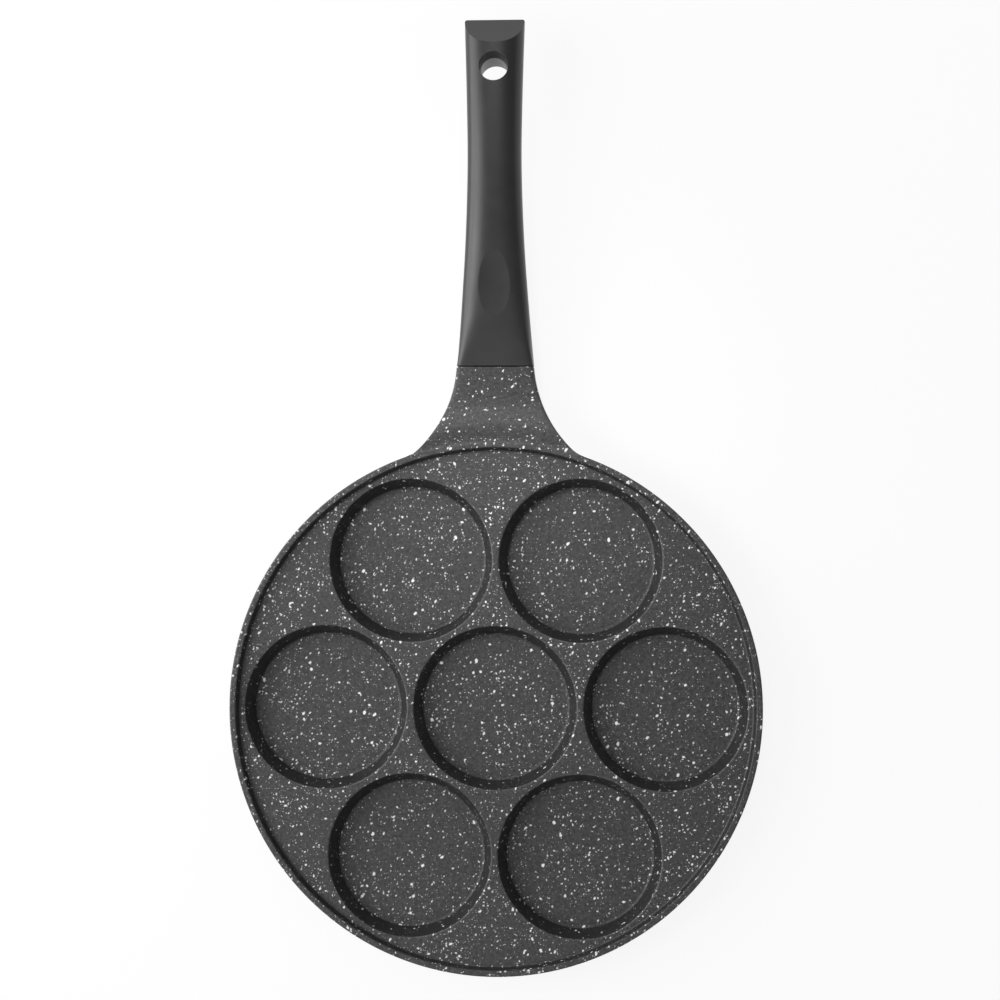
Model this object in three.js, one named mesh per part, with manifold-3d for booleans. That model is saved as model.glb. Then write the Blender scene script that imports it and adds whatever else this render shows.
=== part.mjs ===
// Egg pan: a cast pan with seven round wells and a moulded handle screwed to its tang.
// Millimetres, +Z up, the handle along +Y.
// The origin is the centre of the base, on the surface that it stands on.

import * as THREE from "three";
import { mergeVertices } from "three/addons/utils/BufferGeometryUtils.js";
import Module from "manifold-3d";

const wasm = await Module();
wasm.setup();

// Driving dimensions of the casting
const RIM_RADIUS = 130;
const WELL_MOUTH_RADIUS = 40;
const WELL_FLOOR_RADIUS = 36;
const WELL_RING_RADIUS = 83.1;
const WELLS_IN_RING = 6;
const WELL_DEPTH = 12;
const WELL_EDGE_ROUND = 0.8;
const FLOOR_THICKNESS = 4;
const LIP_HEIGHT = 4.5;
const LIP_TOP_INNER_RADIUS = 127;
const LIP_FOOT_RADIUS = 125.7;
const LIP_EDGE_ROUND = 0.8;
const BASE_FLAT_RADIUS = 117.5;
const BASE_CORNER_RADIUS = 6;

// Driving dimensions of the base disc
const DISC_RADIUS = 100;
const DISC_THICKNESS = 0.8;
const DISC_PROUD = 0.3;
const DISC_HOLE_RADIUS = 3;
const DISC_HOLE_RINGS = [
  { holes: 6, radius: 26 },
  { holes: 12, radius: 52 },
  { holes: 24, radius: 82 },
];
const STUD_SHORT_OF_FLOOR = 0.1;

// Driving dimensions of the neck and the handle
const JUNCTION_Y = 166;
const NECK_WAIST_WIDTH = 37.1;
const NECK_WAIST_PAST_JUNCTION = 5.1;
const NECK_FLARE_RADIUS = 62.8;
const NECK_FILLET_RADIUS = 16;
const NECK_SLOPE_LENGTH = 12;
const NECK_TURN_LENGTH = 9;
const NECK_CREST_SLOPE = 0.06;
const NECK_CROWN_AT_RIM = 0.6;
const NECK_TOP_POWER_AT_RIM = 7;
const NECK_BOTTOM_AT_RIM = 7.5;
const NECK_CREASE_RADIUS = 131.2;
const NECK_DISH_RADIUS = 139;
const NECK_DISH_SLOPE = 0.34;
const NECK_DISH_EASING = 5;
const SEAM_GAP = 0.5;
const GRIP_LENGTH = 167.4;
const GRIP_START_BELOW_RIM = 3.7;
const GRIP_START_SLOPE = 0.2;
const GRIP_ARC_RADIUS = 754;
const GRIP_STATIONS = [0, 25, 60, 97, 130, 167.4];
const GRIP_WIDTHS = [37.6, 33.4, 28.6, 26.2, 27, 29.1];
const GRIP_CROWNS = [7.5, 7.7, 8.2, 8.8, 9.3, 9.6];
const GRIP_BELLIES = [9.5, 12.3, 12, 11, 10.7, 10.5];
const GRIP_TOP_POWERS = [9, 6, 2.8, 2.4, 2.3, 2.3];
const BELLY_POWER = 2.5;
const FACET_LENGTH = 12.4;
const FACET_ANGLE = THREE.MathUtils.degToRad(37);
const SCOOP_FROM_JUNCTION = 37.3;
const SCOOP_SIZE = new THREE.Vector3(21.5, 33.5, 4);
const SCOOP_DEPTH = 0.58;
const HANG_HOLE_FROM_JUNCTION = 141.4;
const HANG_HOLE_TOP_RADIUS = 7.2;
const HANG_HOLE_WAIST_RADIUS = 6.1;
const HANG_HOLE_WAIST_DEPTH = 5.3;
const HANG_HOLE_BOTTOM_RADIUS = 7.6;
const HANG_HOLE_LEAN = THREE.MathUtils.degToRad(12.5);

// Driving dimensions of the tang and its screw
const TANG_WIDTH = 20;
const TANG_THICKNESS = 7;
const TANG_REACH = 46;
const TANG_ROOT = 12;
const CLEARANCE = 0.3;
const SCREW_FROM_JUNCTION = 23;
const SCREW_RADIUS = 2;
const SCREW_HEAD_RADIUS = 3.9;
const SCREW_HEAD_HEIGHT = 2.7;
const SCREW_HEAD_ROUNDNESS = 0.9;
const SCREW_RECESS_LENGTH = 4;
const SCREW_RECESS_WIDTH = 0.9;
const SCREW_RECESS_DEPTH = 1.5;
const SOCKET_FLOOR = 2.4;
const COUNTERBORE_RADIUS = 5;
const FLAT_WASHER_RADIUS = 4.5;
const FLAT_WASHER_THICKNESS = 0.8;
const SPRING_WASHER_RADIUS = 3.7;
const SPRING_WASHER_THICKNESS = 0.9;
const SPRING_WASHER_SPLIT = THREE.MathUtils.degToRad(12);

// Sides of the round forms
const BODY_SIDES = 72;
const WELL_SIDES = 36;
const DISC_HOLE_SIDES = 8;
const HANG_HOLE_SIDES = 24;
const SCREW_SIDES = 20;
const ARC_STEPS = 4;
const GRIP_RINGS = 24;
const NECK_RINGS = 12;
const NECK_RING_CROWDING = 1.5;
const SECTION_POINTS = 32;

// Levels and places that follow from the driving dimensions
const CASTING_BOTTOM = DISC_PROUD;
const FLOOR_LEVEL = DISC_THICKNESS + FLOOR_THICKNESS;
const DECK_LEVEL = FLOOR_LEVEL + WELL_DEPTH;
const RIM_LEVEL = DECK_LEVEL + LIP_HEIGHT;
const NECK_OUTLINE = neckOutline();
const NECK_LENGTH = JUNCTION_Y - NECK_OUTLINE.rimY;
const OVERSHOOT = 20;

// Widths, heights and roundness of the handle, as smooth curves along it
const stationCurve = (values) => new THREE.CubicInterpolant(GRIP_STATIONS, values, 1, []);
const gripWidth = stationCurve(GRIP_WIDTHS);
const gripCrown = stationCurve(GRIP_CROWNS);
const gripBelly = stationCurve(GRIP_BELLIES);
const gripTopPower = stationCurve(GRIP_TOP_POWERS);
const at = (curve, distance) => curve.evaluate(distance)[0];

/** Height of the handle's widest line at a distance from the junction: a shallow arc. */
function gripLine(distance) {
  const start = RIM_LEVEL - GRIP_START_BELOW_RIM;
  return start + GRIP_START_SLOPE * distance - distance ** 2 / (2 * GRIP_ARC_RADIUS);
}

/** Slope of that arc, as rise over run. */
function gripSlope(distance) {
  return GRIP_START_SLOPE - distance / GRIP_ARC_RADIUS;
}

/** A closed solid for joining and cutting, from any closed three.js geometry. */
function solidOf(geometry) {
  const bare = geometry.clone();
  bare.deleteAttribute("normal");
  bare.deleteAttribute("uv");
  const merged = mergeVertices(bare, 1e-4);
  const corners = merged.index.array;
  const triangles = [];
  for (let i = 0; i < corners.length; i += 3) {
    const [a, b, c] = corners.slice(i, i + 3);
    if (a !== b && b !== c && c !== a) {
      triangles.push(a, b, c);
    }
  }
  return new wasm.Manifold(
    new wasm.Mesh({
      numProp: 3,
      vertProperties: new Float32Array(merged.attributes.position.array),
      triVerts: new Uint32Array(triangles),
    }),
  );
}

/** The geometry of a finished solid. */
function geometryOf(solid) {
  const { vertProperties, triVerts } = solid.getMesh();
  const geometry = new THREE.BufferGeometry();
  geometry.setAttribute("position", new THREE.BufferAttribute(vertProperties, 3));
  geometry.setIndex(new THREE.BufferAttribute(triVerts, 1));
  geometry.computeVertexNormals();
  return geometry;
}

/** A solid of revolution about +Z, from [radius, height] pairs that run from its bottom to its top. */
function turned(profile, sides) {
  const points = profile.map(([radius, height]) => new THREE.Vector2(radius, height));
  return new THREE.LatheGeometry(points, sides).rotateX(Math.PI / 2);
}

/** Points of an arc as [x, y] pairs, with both ends. */
function arcPoints(x, y, radius, from, to, steps = ARC_STEPS) {
  return Array.from({ length: steps + 1 }, (_, i) => {
    const angle = THREE.MathUtils.lerp(from, to, i / steps);
    return [x + radius * Math.cos(angle), y + radius * Math.sin(angle)];
  });
}

/** The corners of a regular polygon that stands for a circle. */
function circlePoints(radius, sides, x = 0, y = 0) {
  return Array.from({ length: sides }, (_, i) => {
    const angle = (i / sides) * 2 * Math.PI;
    return new THREE.Vector2(x + radius * Math.cos(angle), y + radius * Math.sin(angle));
  });
}

/** A flat outline drawn up along +Z from a height. */
function slab(shape, bottom, thickness) {
  const options = { depth: thickness, bevelEnabled: false };
  return new THREE.ExtrudeGeometry(shape, options).translate(0, 0, bottom);
}

/** A skin through rings of points that have the same count, closed by a fan at each end. */
function loft(rings) {
  const count = rings[0].length;
  const ends = [rings[0], rings.at(-1)];
  const centres = ends.map((ring) =>
    ring.reduce((sum, point) => sum.add(point), new THREE.Vector3()).divideScalar(count),
  );
  const geometry = new THREE.BufferGeometry().setFromPoints([...rings.flat(), ...centres]);
  const first = rings.length * count;
  const faces = [];
  for (let i = 0; i < count; i += 1) {
    const next = (i + 1) % count;
    for (let row = 0; row < first - count; row += count) {
      faces.push(row + i, row + count + i, row + next);
      faces.push(row + next, row + count + i, row + count + next);
    }
    faces.push(first, i, next);
    faces.push(first + 1, first - count + next, first - count + i);
  }
  return geometry.setIndex(faces);
}

/** A section across Y, about its widest line: a squarish crown over a rounder belly. */
function ovalSection(y, line, { halfWidth, crown, belly, topPower }) {
  return Array.from({ length: SECTION_POINTS }, (_, i) => {
    const angle = (i / SECTION_POINTS) * 2 * Math.PI;
    const across = Math.cos(angle);
    const up = Math.sin(angle);
    const power = 2 / (up >= 0 ? topPower : BELLY_POWER);
    const x = halfWidth * Math.sign(across) * Math.abs(across) ** power;
    const z = (up >= 0 ? crown : belly) * Math.sign(up) * Math.abs(up) ** power;
    return new THREE.Vector3(x, y, line + z);
  });
}

/** Centres of the wells: one in the middle and a ring that has two wells on the X axis. */
function wellCentres() {
  const ring = circlePoints(WELL_RING_RADIUS, WELLS_IN_RING);
  return [new THREE.Vector2(0, 0), ...ring];
}

/** Centres of the disc's holes, in rings. */
function discHoleCentres() {
  return DISC_HOLE_RINGS.flatMap(({ holes, radius }) => circlePoints(radius, holes));
}

/** The casting's outside as one full blank, up to the rim, with the recess for the disc below. */
function rimBlank() {
  const corner = [BASE_FLAT_RADIUS, CASTING_BOTTOM + BASE_CORNER_RADIUS];
  const rimEdge = [RIM_RADIUS - LIP_EDGE_ROUND, RIM_LEVEL - LIP_EDGE_ROUND];
  const way = new THREE.Vector2(rimEdge[0] - corner[0], rimEdge[1] - corner[1]);
  const wallAngle = way.angle() - Math.acos((BASE_CORNER_RADIUS - LIP_EDGE_ROUND) / way.length());
  const recess = DISC_RADIUS + CLEARANCE;
  return solidOf(
    turned(
      [
        [0, DISC_THICKNESS],
        [recess, DISC_THICKNESS],
        [recess, CASTING_BOTTOM],
        ...arcPoints(...corner, BASE_CORNER_RADIUS, -Math.PI / 2, wallAngle),
        ...arcPoints(...rimEdge, LIP_EDGE_ROUND, wallAngle, Math.PI / 2),
        [0, RIM_LEVEL],
      ],
      BODY_SIDES,
    ),
  );
}

/** What is cut away above the deck, inside the lip. */
function trayCutter() {
  const lipEdge = [LIP_TOP_INNER_RADIUS + LIP_EDGE_ROUND, RIM_LEVEL - LIP_EDGE_ROUND];
  return solidOf(
    turned(
      [
        [0, DECK_LEVEL],
        [LIP_FOOT_RADIUS, DECK_LEVEL],
        ...arcPoints(...lipEdge, LIP_EDGE_ROUND, Math.PI, Math.PI / 2),
        [lipEdge[0], RIM_LEVEL + OVERSHOOT],
        [0, RIM_LEVEL + OVERSHOOT],
      ],
      BODY_SIDES,
    ),
  );
}

/** What is cut away for one well, with its edge and its floor's corner rounded off. */
function wellCutter({ x, y }) {
  const edge = WELL_EDGE_ROUND;
  const profile = [
    [0, FLOOR_LEVEL],
    [WELL_FLOOR_RADIUS - edge, FLOOR_LEVEL],
    [WELL_FLOOR_RADIUS + edge / 2, FLOOR_LEVEL + edge],
    [WELL_MOUTH_RADIUS - edge / 2, DECK_LEVEL - edge],
    [WELL_MOUTH_RADIUS + edge / 2, DECK_LEVEL],
    [WELL_MOUTH_RADIUS + edge / 2, RIM_LEVEL],
    [0, RIM_LEVEL],
  ];
  return solidOf(turned(profile, WELL_SIDES).translate(x, y, 0));
}

/** The neck's outline on its +X side: a wide flare, then a fillet that touches the rim's circle. */
function neckOutline() {
  const flare = new THREE.Vector2(
    NECK_WAIST_WIDTH / 2 + NECK_FLARE_RADIUS,
    JUNCTION_Y + NECK_WAIST_PAST_JUNCTION,
  );
  const fromRim = RIM_RADIUS + NECK_FILLET_RADIUS;
  const fromFlare = NECK_FLARE_RADIUS - NECK_FILLET_RADIUS;
  const along = (flare.lengthSq() + fromRim ** 2 - fromFlare ** 2) / (2 * flare.length());
  const aside = Math.sqrt(fromRim ** 2 - along ** 2);
  const fillet = new THREE.Vector2(along, aside).rotateAround(new THREE.Vector2(), flare.angle());
  const filletY = flare.y + ((fillet.y - flare.y) * NECK_FLARE_RADIUS) / fromFlare;
  return { flare, fillet, filletY, rimY: (fillet.y * RIM_RADIUS) / fromRim };
}

/** Half the neck's width at a place along Y. */
function neckHalfWidth(y) {
  const { flare, fillet, filletY } = NECK_OUTLINE;
  const [centre, radius] = y > filletY ? [flare, NECK_FLARE_RADIUS] : [fillet, NECK_FILLET_RADIUS];
  return centre.x - Math.sqrt(radius ** 2 - (centre.y - y) ** 2);
}

/** How much of a run counts at a distance past its start, where it sets in over an easing length. */
function easedRun(past, easing) {
  const run = Math.max(past, 0);
  const eased = Math.min(run, easing);
  return run - eased + eased ** 2 / (2 * easing);
}

/** Height of the neck's top at a distance from the junction: down the handle's slope, then up to a crest. */
function neckTop(distance) {
  const turned = easedRun(distance - NECK_SLOPE_LENGTH, NECK_TURN_LENGTH);
  const fall = GRIP_START_SLOPE * distance - (GRIP_START_SLOPE + NECK_CREST_SLOPE) * turned;
  return gripLine(0) + GRIP_CROWNS[0] - fall;
}

/** How far the neck's top falls from its crest at a radius from the pan's centre, down to a crease. */
function neckDish(radius) {
  const past = NECK_DISH_RADIUS - Math.max(radius, NECK_CREASE_RADIUS);
  return NECK_DISH_SLOPE * easedRun(past, NECK_DISH_EASING);
}

/** One cross-section of the neck, which is the handle's own section at the junction. */
function neckSection(y) {
  const distance = JUNCTION_Y - y;
  const share = distance / NECK_LENGTH;
  const halfWidth = neckHalfWidth(y);
  const crown = THREE.MathUtils.lerp(GRIP_CROWNS[0], NECK_CROWN_AT_RIM, share);
  const bottom = THREE.MathUtils.lerp(gripLine(0) - GRIP_BELLIES[0], NECK_BOTTOM_AT_RIM, share);
  const topPower = THREE.MathUtils.lerp(GRIP_TOP_POWERS[0], NECK_TOP_POWER_AT_RIM, share);
  const edgeDish = neckDish(Math.hypot(halfWidth, y));
  const line = neckTop(distance) - edgeDish - crown;
  const ring = ovalSection(y, line, { halfWidth, crown, belly: line - bottom, topPower });
  for (const point of ring.filter(({ z }) => z > line)) {
    point.z += edgeDish - neckDish(Math.hypot(point.x, y));
  }
  return ring;
}

/** The neck, from inside the rim to the junction, with its rings closer together near the rim. */
function neck() {
  const rings = Array.from({ length: NECK_RINGS + 1 }, (_, i) =>
    neckSection(NECK_OUTLINE.rimY + NECK_LENGTH * (i / NECK_RINGS) ** NECK_RING_CROWDING),
  );
  return solidOf(loft(rings));
}

/** Puts an object on the straight tang's middle, at the screw, with its own Z along the screw. */
function placeOnTang(object) {
  const slope = (gripLine(TANG_REACH) - gripLine(0)) / TANG_REACH;
  const height = gripLine(0) + slope * SCREW_FROM_JUNCTION;
  object.position.set(0, JUNCTION_Y + SCREW_FROM_JUNCTION, height);
  object.rotation.x = Math.atan(slope);
  object.updateMatrix();
  return object;
}

/** Moves a geometry that was made about the screw's axis into the pan's frame. */
function onTang(geometry) {
  return geometry.applyMatrix4(placeOnTang(new THREE.Object3D()).matrix);
}

/** The tang as a bar, or the socket around it where it is grown by a clearance. */
function tangBar(clearance = 0) {
  const end = TANG_REACH - SCREW_FROM_JUNCTION + clearance;
  const start = -SCREW_FROM_JUNCTION - TANG_ROOT;
  const bar = new THREE.BoxGeometry(
    TANG_WIDTH + 2 * clearance,
    end - start,
    TANG_THICKNESS + 2 * clearance,
  );
  return solidOf(onTang(bar.translate(0, (start + end) / 2, 0)));
}

/** A round hole along the screw's axis. */
function screwHole(radius, bottom, top) {
  return solidOf(onTang(turned([[0, bottom], [radius, bottom], [radius, top], [0, top]], SCREW_SIDES)));
}

/** One casting: wells, rim, neck, tang and the studs that hold the disc. */
function panBody() {
  let body = rimBlank().add(neck()).subtract(trayCutter());
  for (const centre of wellCentres()) {
    body = body.subtract(wellCutter(centre));
  }
  for (const { x, y } of discHoleCentres()) {
    const outline = new THREE.Shape(circlePoints(DISC_HOLE_RADIUS - CLEARANCE, DISC_HOLE_SIDES, x, y));
    body = body.add(solidOf(slab(outline, STUD_SHORT_OF_FLOOR, FLOOR_THICKNESS / 2)));
  }
  body = body.add(tangBar());
  return body.subtract(screwHole(SCREW_RADIUS + CLEARANCE, -TANG_THICKNESS, TANG_THICKNESS));
}

/** The steel disc in the underside, with a hole for each stud. */
function baseDisc() {
  const outline = new THREE.Shape(circlePoints(DISC_RADIUS, BODY_SIDES));
  outline.holes = discHoleCentres().map(
    ({ x, y }) => new THREE.Path(circlePoints(DISC_HOLE_RADIUS, DISC_HOLE_SIDES, x, y)),
  );
  return slab(outline, 0, DISC_THICKNESS);
}

/** One cross-section of the handle at a distance from the junction. */
function gripSection(distance) {
  return ovalSection(JUNCTION_Y + distance, gripLine(distance), {
    halfWidth: at(gripWidth, distance) / 2,
    crown: at(gripCrown, distance),
    belly: at(gripBelly, distance),
    topPower: at(gripTopPower, distance),
  });
}

/** The flat cut across the top of the handle's end. */
function facetCutter() {
  const size = 4 * OVERSHOOT;
  const crest = gripLine(GRIP_LENGTH - FACET_LENGTH) + at(gripCrown, GRIP_LENGTH - FACET_LENGTH);
  const block = new THREE.BoxGeometry(size, size, size).translate(0, 0, size / 2);
  block.rotateX(-FACET_ANGLE).translate(0, JUNCTION_Y + GRIP_LENGTH - FACET_LENGTH, crest);
  return solidOf(block);
}

/** The shallow oval scoop for the thumb. */
function scoopCutter() {
  const top = gripLine(SCOOP_FROM_JUNCTION) + at(gripCrown, SCOOP_FROM_JUNCTION);
  const ball = new THREE.SphereGeometry(1, SECTION_POINTS, SECTION_POINTS / 2);
  ball.rotateX(Math.PI / 2).scale(...SCOOP_SIZE.toArray());
  ball.rotateX(Math.atan(gripSlope(SCOOP_FROM_JUNCTION)));
  ball.translate(0, JUNCTION_Y + SCOOP_FROM_JUNCTION, top + SCOOP_SIZE.z - SCOOP_DEPTH);
  return solidOf(ball);
}

/** The hang hole: a short cone from above and a long one from below, which meet at its waist. */
function hangHoleCutter() {
  const distance = HANG_HOLE_FROM_JUNCTION;
  const half = (at(gripCrown, distance) + at(gripBelly, distance)) / 2;
  const middle = gripLine(distance) + at(gripCrown, distance) - half;
  const cutter = turned(
    [
      [0, -OVERSHOOT],
      [HANG_HOLE_BOTTOM_RADIUS, -OVERSHOOT],
      [HANG_HOLE_BOTTOM_RADIUS, -half],
      [HANG_HOLE_WAIST_RADIUS, half - HANG_HOLE_WAIST_DEPTH],
      [HANG_HOLE_TOP_RADIUS, half],
      [HANG_HOLE_TOP_RADIUS, OVERSHOOT],
      [0, OVERSHOOT],
    ],
    HANG_HOLE_SIDES,
  );
  cutter.rotateX(-HANG_HOLE_LEAN).translate(0, JUNCTION_Y + distance, middle);
  return solidOf(cutter);
}

// Heights along the screw's axis, from the tang's middle
const COUNTERBORE_FLOOR = -(TANG_THICKNESS / 2 + CLEARANCE + SOCKET_FLOOR);
const FLAT_WASHER_BOTTOM = COUNTERBORE_FLOOR - CLEARANCE - FLAT_WASHER_THICKNESS;
const SPRING_WASHER_BOTTOM = FLAT_WASHER_BOTTOM - CLEARANCE - SPRING_WASHER_THICKNESS;
const SCREW_HEAD_TOP = SPRING_WASHER_BOTTOM - CLEARANCE;
const SCREW_HEAD_BOTTOM = SCREW_HEAD_TOP - SCREW_HEAD_HEIGHT;
const SCREW_TIP = TANG_THICKNESS / 2;

/** The moulded handle with its socket, screw recess, thumb scoop, hang hole and end facet. */
function handleGrip() {
  const rings = Array.from({ length: GRIP_RINGS + 1 }, (_, i) =>
    gripSection(THREE.MathUtils.lerp(SEAM_GAP, GRIP_LENGTH, i / GRIP_RINGS)),
  );
  return solidOf(loft(rings))
    .subtract(facetCutter())
    .subtract(scoopCutter())
    .subtract(hangHoleCutter())
    .subtract(tangBar(CLEARANCE))
    .subtract(screwHole(COUNTERBORE_RADIUS, -OVERSHOOT, COUNTERBORE_FLOOR))
    .subtract(screwHole(SCREW_RADIUS + CLEARANCE, -OVERSHOOT, 0));
}

/** A cross-recess pan-head screw, head down. */
function handleScrew() {
  const headEdge = SCREW_HEAD_BOTTOM + SCREW_HEAD_HEIGHT / 2;
  const chamfer = SCREW_RADIUS / 4;
  const blank = turned(
    [
      [0, SCREW_HEAD_BOTTOM],
      [SCREW_HEAD_RADIUS / 2, SCREW_HEAD_BOTTOM],
      [SCREW_HEAD_RADIUS * SCREW_HEAD_ROUNDNESS, (SCREW_HEAD_BOTTOM + headEdge) / 2],
      [SCREW_HEAD_RADIUS, headEdge],
      [SCREW_HEAD_RADIUS, SCREW_HEAD_TOP],
      [SCREW_RADIUS, SCREW_HEAD_TOP],
      [SCREW_RADIUS, SCREW_TIP - chamfer],
      [SCREW_RADIUS - chamfer, SCREW_TIP],
      [0, SCREW_TIP],
    ],
    SCREW_SIDES,
  );
  const slotSize = [SCREW_RECESS_LENGTH, SCREW_RECESS_WIDTH, 2 * SCREW_RECESS_DEPTH];
  const slot = new THREE.BoxGeometry(...slotSize).translate(0, 0, SCREW_HEAD_BOTTOM);
  const crossing = slot.clone().rotateZ(Math.PI / 2);
  return geometryOf(solidOf(blank).subtract(solidOf(slot)).subtract(solidOf(crossing)));
}

/** The split ring under the screw's head. */
function springWasher() {
  const inner = SCREW_RADIUS + CLEARANCE;
  const ends = [SPRING_WASHER_SPLIT, 2 * Math.PI - SPRING_WASHER_SPLIT];
  const outer = arcPoints(0, 0, SPRING_WASHER_RADIUS, ...ends, SCREW_SIDES);
  const bore = arcPoints(0, 0, inner, ...ends, SCREW_SIDES).reverse();
  const outline = new THREE.Shape([...outer, ...bore].map(([x, y]) => new THREE.Vector2(x, y)));
  return slab(outline, SPRING_WASHER_BOTTOM, SPRING_WASHER_THICKNESS);
}

/** The plain ring on the floor of the handle's screw recess. */
function flatWasher() {
  const outline = new THREE.Shape(circlePoints(FLAT_WASHER_RADIUS, SCREW_SIDES));
  outline.holes = [new THREE.Path(circlePoints(SCREW_RADIUS + CLEARANCE, SCREW_SIDES))];
  return slab(outline, FLAT_WASHER_BOTTOM, FLAT_WASHER_THICKNESS);
}

const stoneCoating = new THREE.MeshStandardMaterial({ color: 0x4c4c4d, roughness: 0.5, metalness: 0 });
const baseSteel = new THREE.MeshStandardMaterial({ color: 0xa9aaab, roughness: 0.35, metalness: 1 });
const phenolic = new THREE.MeshStandardMaterial({ color: 0x242425, roughness: 0.45, metalness: 0 });
const zincSteel = new THREE.MeshStandardMaterial({ color: 0xb9bcbf, roughness: 0.3, metalness: 1 });

/** One named sub-part. */
function part(name, geometry, material) {
  const mesh = new THREE.Mesh(geometry, material);
  mesh.name = name;
  return mesh;
}

// The screw and its washers sit in a group that is turned to the tang's slope.
const fixing = placeOnTang(new THREE.Group());
fixing.add(
  part("handle_screw", handleScrew(), zincSteel),
  part("spring_washer", springWasher(), zincSteel),
  part("flat_washer", flatWasher(), zincSteel),
);

const eggPan = new THREE.Group();
eggPan.add(
  part("pan_body", geometryOf(panBody()), stoneCoating),
  part("induction_base_disc", baseDisc(), baseSteel),
  part("handle_grip", geometryOf(handleGrip()), phenolic),
  fixing,
);

export default eggPan;
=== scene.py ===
"""Egg pan: a cast pan with seven round wells, a steel base disc and a moulded handle screwed to its tang.

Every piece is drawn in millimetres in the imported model's frame, and is brought to metres when it is
finished.
"""

import logging
import math
from collections.abc import Callable, Iterable, Sequence
from dataclasses import dataclass, field
from enum import Enum

import bmesh
import bpy
from mathutils import Matrix, Vector


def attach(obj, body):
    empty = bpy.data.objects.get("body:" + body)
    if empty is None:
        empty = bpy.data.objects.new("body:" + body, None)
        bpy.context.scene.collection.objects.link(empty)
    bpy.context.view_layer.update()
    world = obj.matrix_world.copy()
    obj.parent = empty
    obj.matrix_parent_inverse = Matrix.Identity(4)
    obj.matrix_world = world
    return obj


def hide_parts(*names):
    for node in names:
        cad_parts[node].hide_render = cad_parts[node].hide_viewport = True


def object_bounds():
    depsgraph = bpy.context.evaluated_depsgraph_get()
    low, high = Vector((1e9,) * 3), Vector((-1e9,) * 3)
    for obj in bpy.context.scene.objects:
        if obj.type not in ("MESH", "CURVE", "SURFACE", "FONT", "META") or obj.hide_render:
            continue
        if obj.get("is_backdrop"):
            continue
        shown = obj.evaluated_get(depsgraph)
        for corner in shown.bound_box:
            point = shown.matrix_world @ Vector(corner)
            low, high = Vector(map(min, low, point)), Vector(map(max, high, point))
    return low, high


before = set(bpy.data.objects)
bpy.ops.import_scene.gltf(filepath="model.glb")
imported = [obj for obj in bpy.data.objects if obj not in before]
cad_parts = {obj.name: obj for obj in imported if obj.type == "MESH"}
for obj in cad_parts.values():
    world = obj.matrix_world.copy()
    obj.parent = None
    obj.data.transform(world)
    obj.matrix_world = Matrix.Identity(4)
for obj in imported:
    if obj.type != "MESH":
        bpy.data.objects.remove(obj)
CAD_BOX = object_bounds()

LOG = logging.getLogger("egg_pan")

Pair = tuple[float, float]
Corner = tuple[float, float, float]
Colour = tuple[float, float, float, float]
Numbers = tuple[float, ...]
Shape = bpy.types.Object
Socket = bpy.types.NodeSocket
Material = bpy.types.Material
Feed = Socket | float | tuple

MM = 0.001
WELD = 0.002
ARC_STEP = math.radians(9)
SMOOTH_ANGLE = math.radians(28)
BEVEL_STEPS = 3
NOISE_SPAN = (0.3, 0.7)
BODY = "root"


class Node(Enum):
    """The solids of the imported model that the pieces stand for."""

    PAN = "pan_body"
    DISC = "induction_base_disc"
    HANDLE = "handle_grip"
    SCREW = "handle_screw"
    SPRING_WASHER = "spring_washer"
    FLAT_WASHER = "flat_washer"


class Slot(Enum):
    """The record's material slots."""

    STONE = "stone_coating"
    STEEL = "base_steel"
    PHENOLIC = "handle_phenolic"
    ZINC = "zinc_steel"


class Meeting(Enum):
    """The ways that one solid meets another."""

    JOIN = "UNION"
    CUT = "DIFFERENCE"


# Modelling by hand: selection, drawing, turning and joining


def clear_selection() -> None:
    """Leaves edit mode and selects nothing."""
    if bpy.context.mode != "OBJECT":
        bpy.ops.object.mode_set(mode="OBJECT")
    bpy.ops.object.select_all(action="DESELECT")


def pick(shape: Shape) -> None:
    """Selects one object alone and makes it the active one.

    Args:
        shape: the object.
    """
    clear_selection()
    shape.select_set(True)
    bpy.context.view_layer.objects.active = shape


def open_mesh(shape: Shape) -> None:
    """Opens one object in edit mode with all of its mesh selected.

    Args:
        shape: the object.
    """
    pick(shape)
    bpy.ops.object.mode_set(mode="EDIT")
    bpy.ops.mesh.select_mode(type="VERT")
    bpy.ops.mesh.select_all(action="SELECT")


def close_mesh() -> None:
    """Welds what coincides, turns every face outwards and leaves edit mode."""
    bpy.ops.mesh.select_mode(type="VERT")
    bpy.ops.mesh.select_all(action="SELECT")
    bpy.ops.mesh.remove_doubles(threshold=WELD)
    bpy.ops.mesh.normals_make_consistent(inside=False)
    bpy.ops.object.mode_set(mode="OBJECT")


def select_edges(shape: Shape, test: Callable[[bmesh.types.BMEdge], bool]) -> None:
    """Selects the edges of the open mesh that pass a test, and nothing else.

    Args:
        shape: the object that is open in edit mode.
        test: says of one edge whether it is selected.
    """
    bpy.ops.mesh.select_mode(type="EDGE")
    bpy.ops.mesh.select_all(action="DESELECT")
    sketch = bmesh.from_edit_mesh(shape.data)
    for edge in sketch.edges:
        if test(edge):
            edge.select_set(True)
    bmesh.update_edit_mesh(shape.data)


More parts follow.
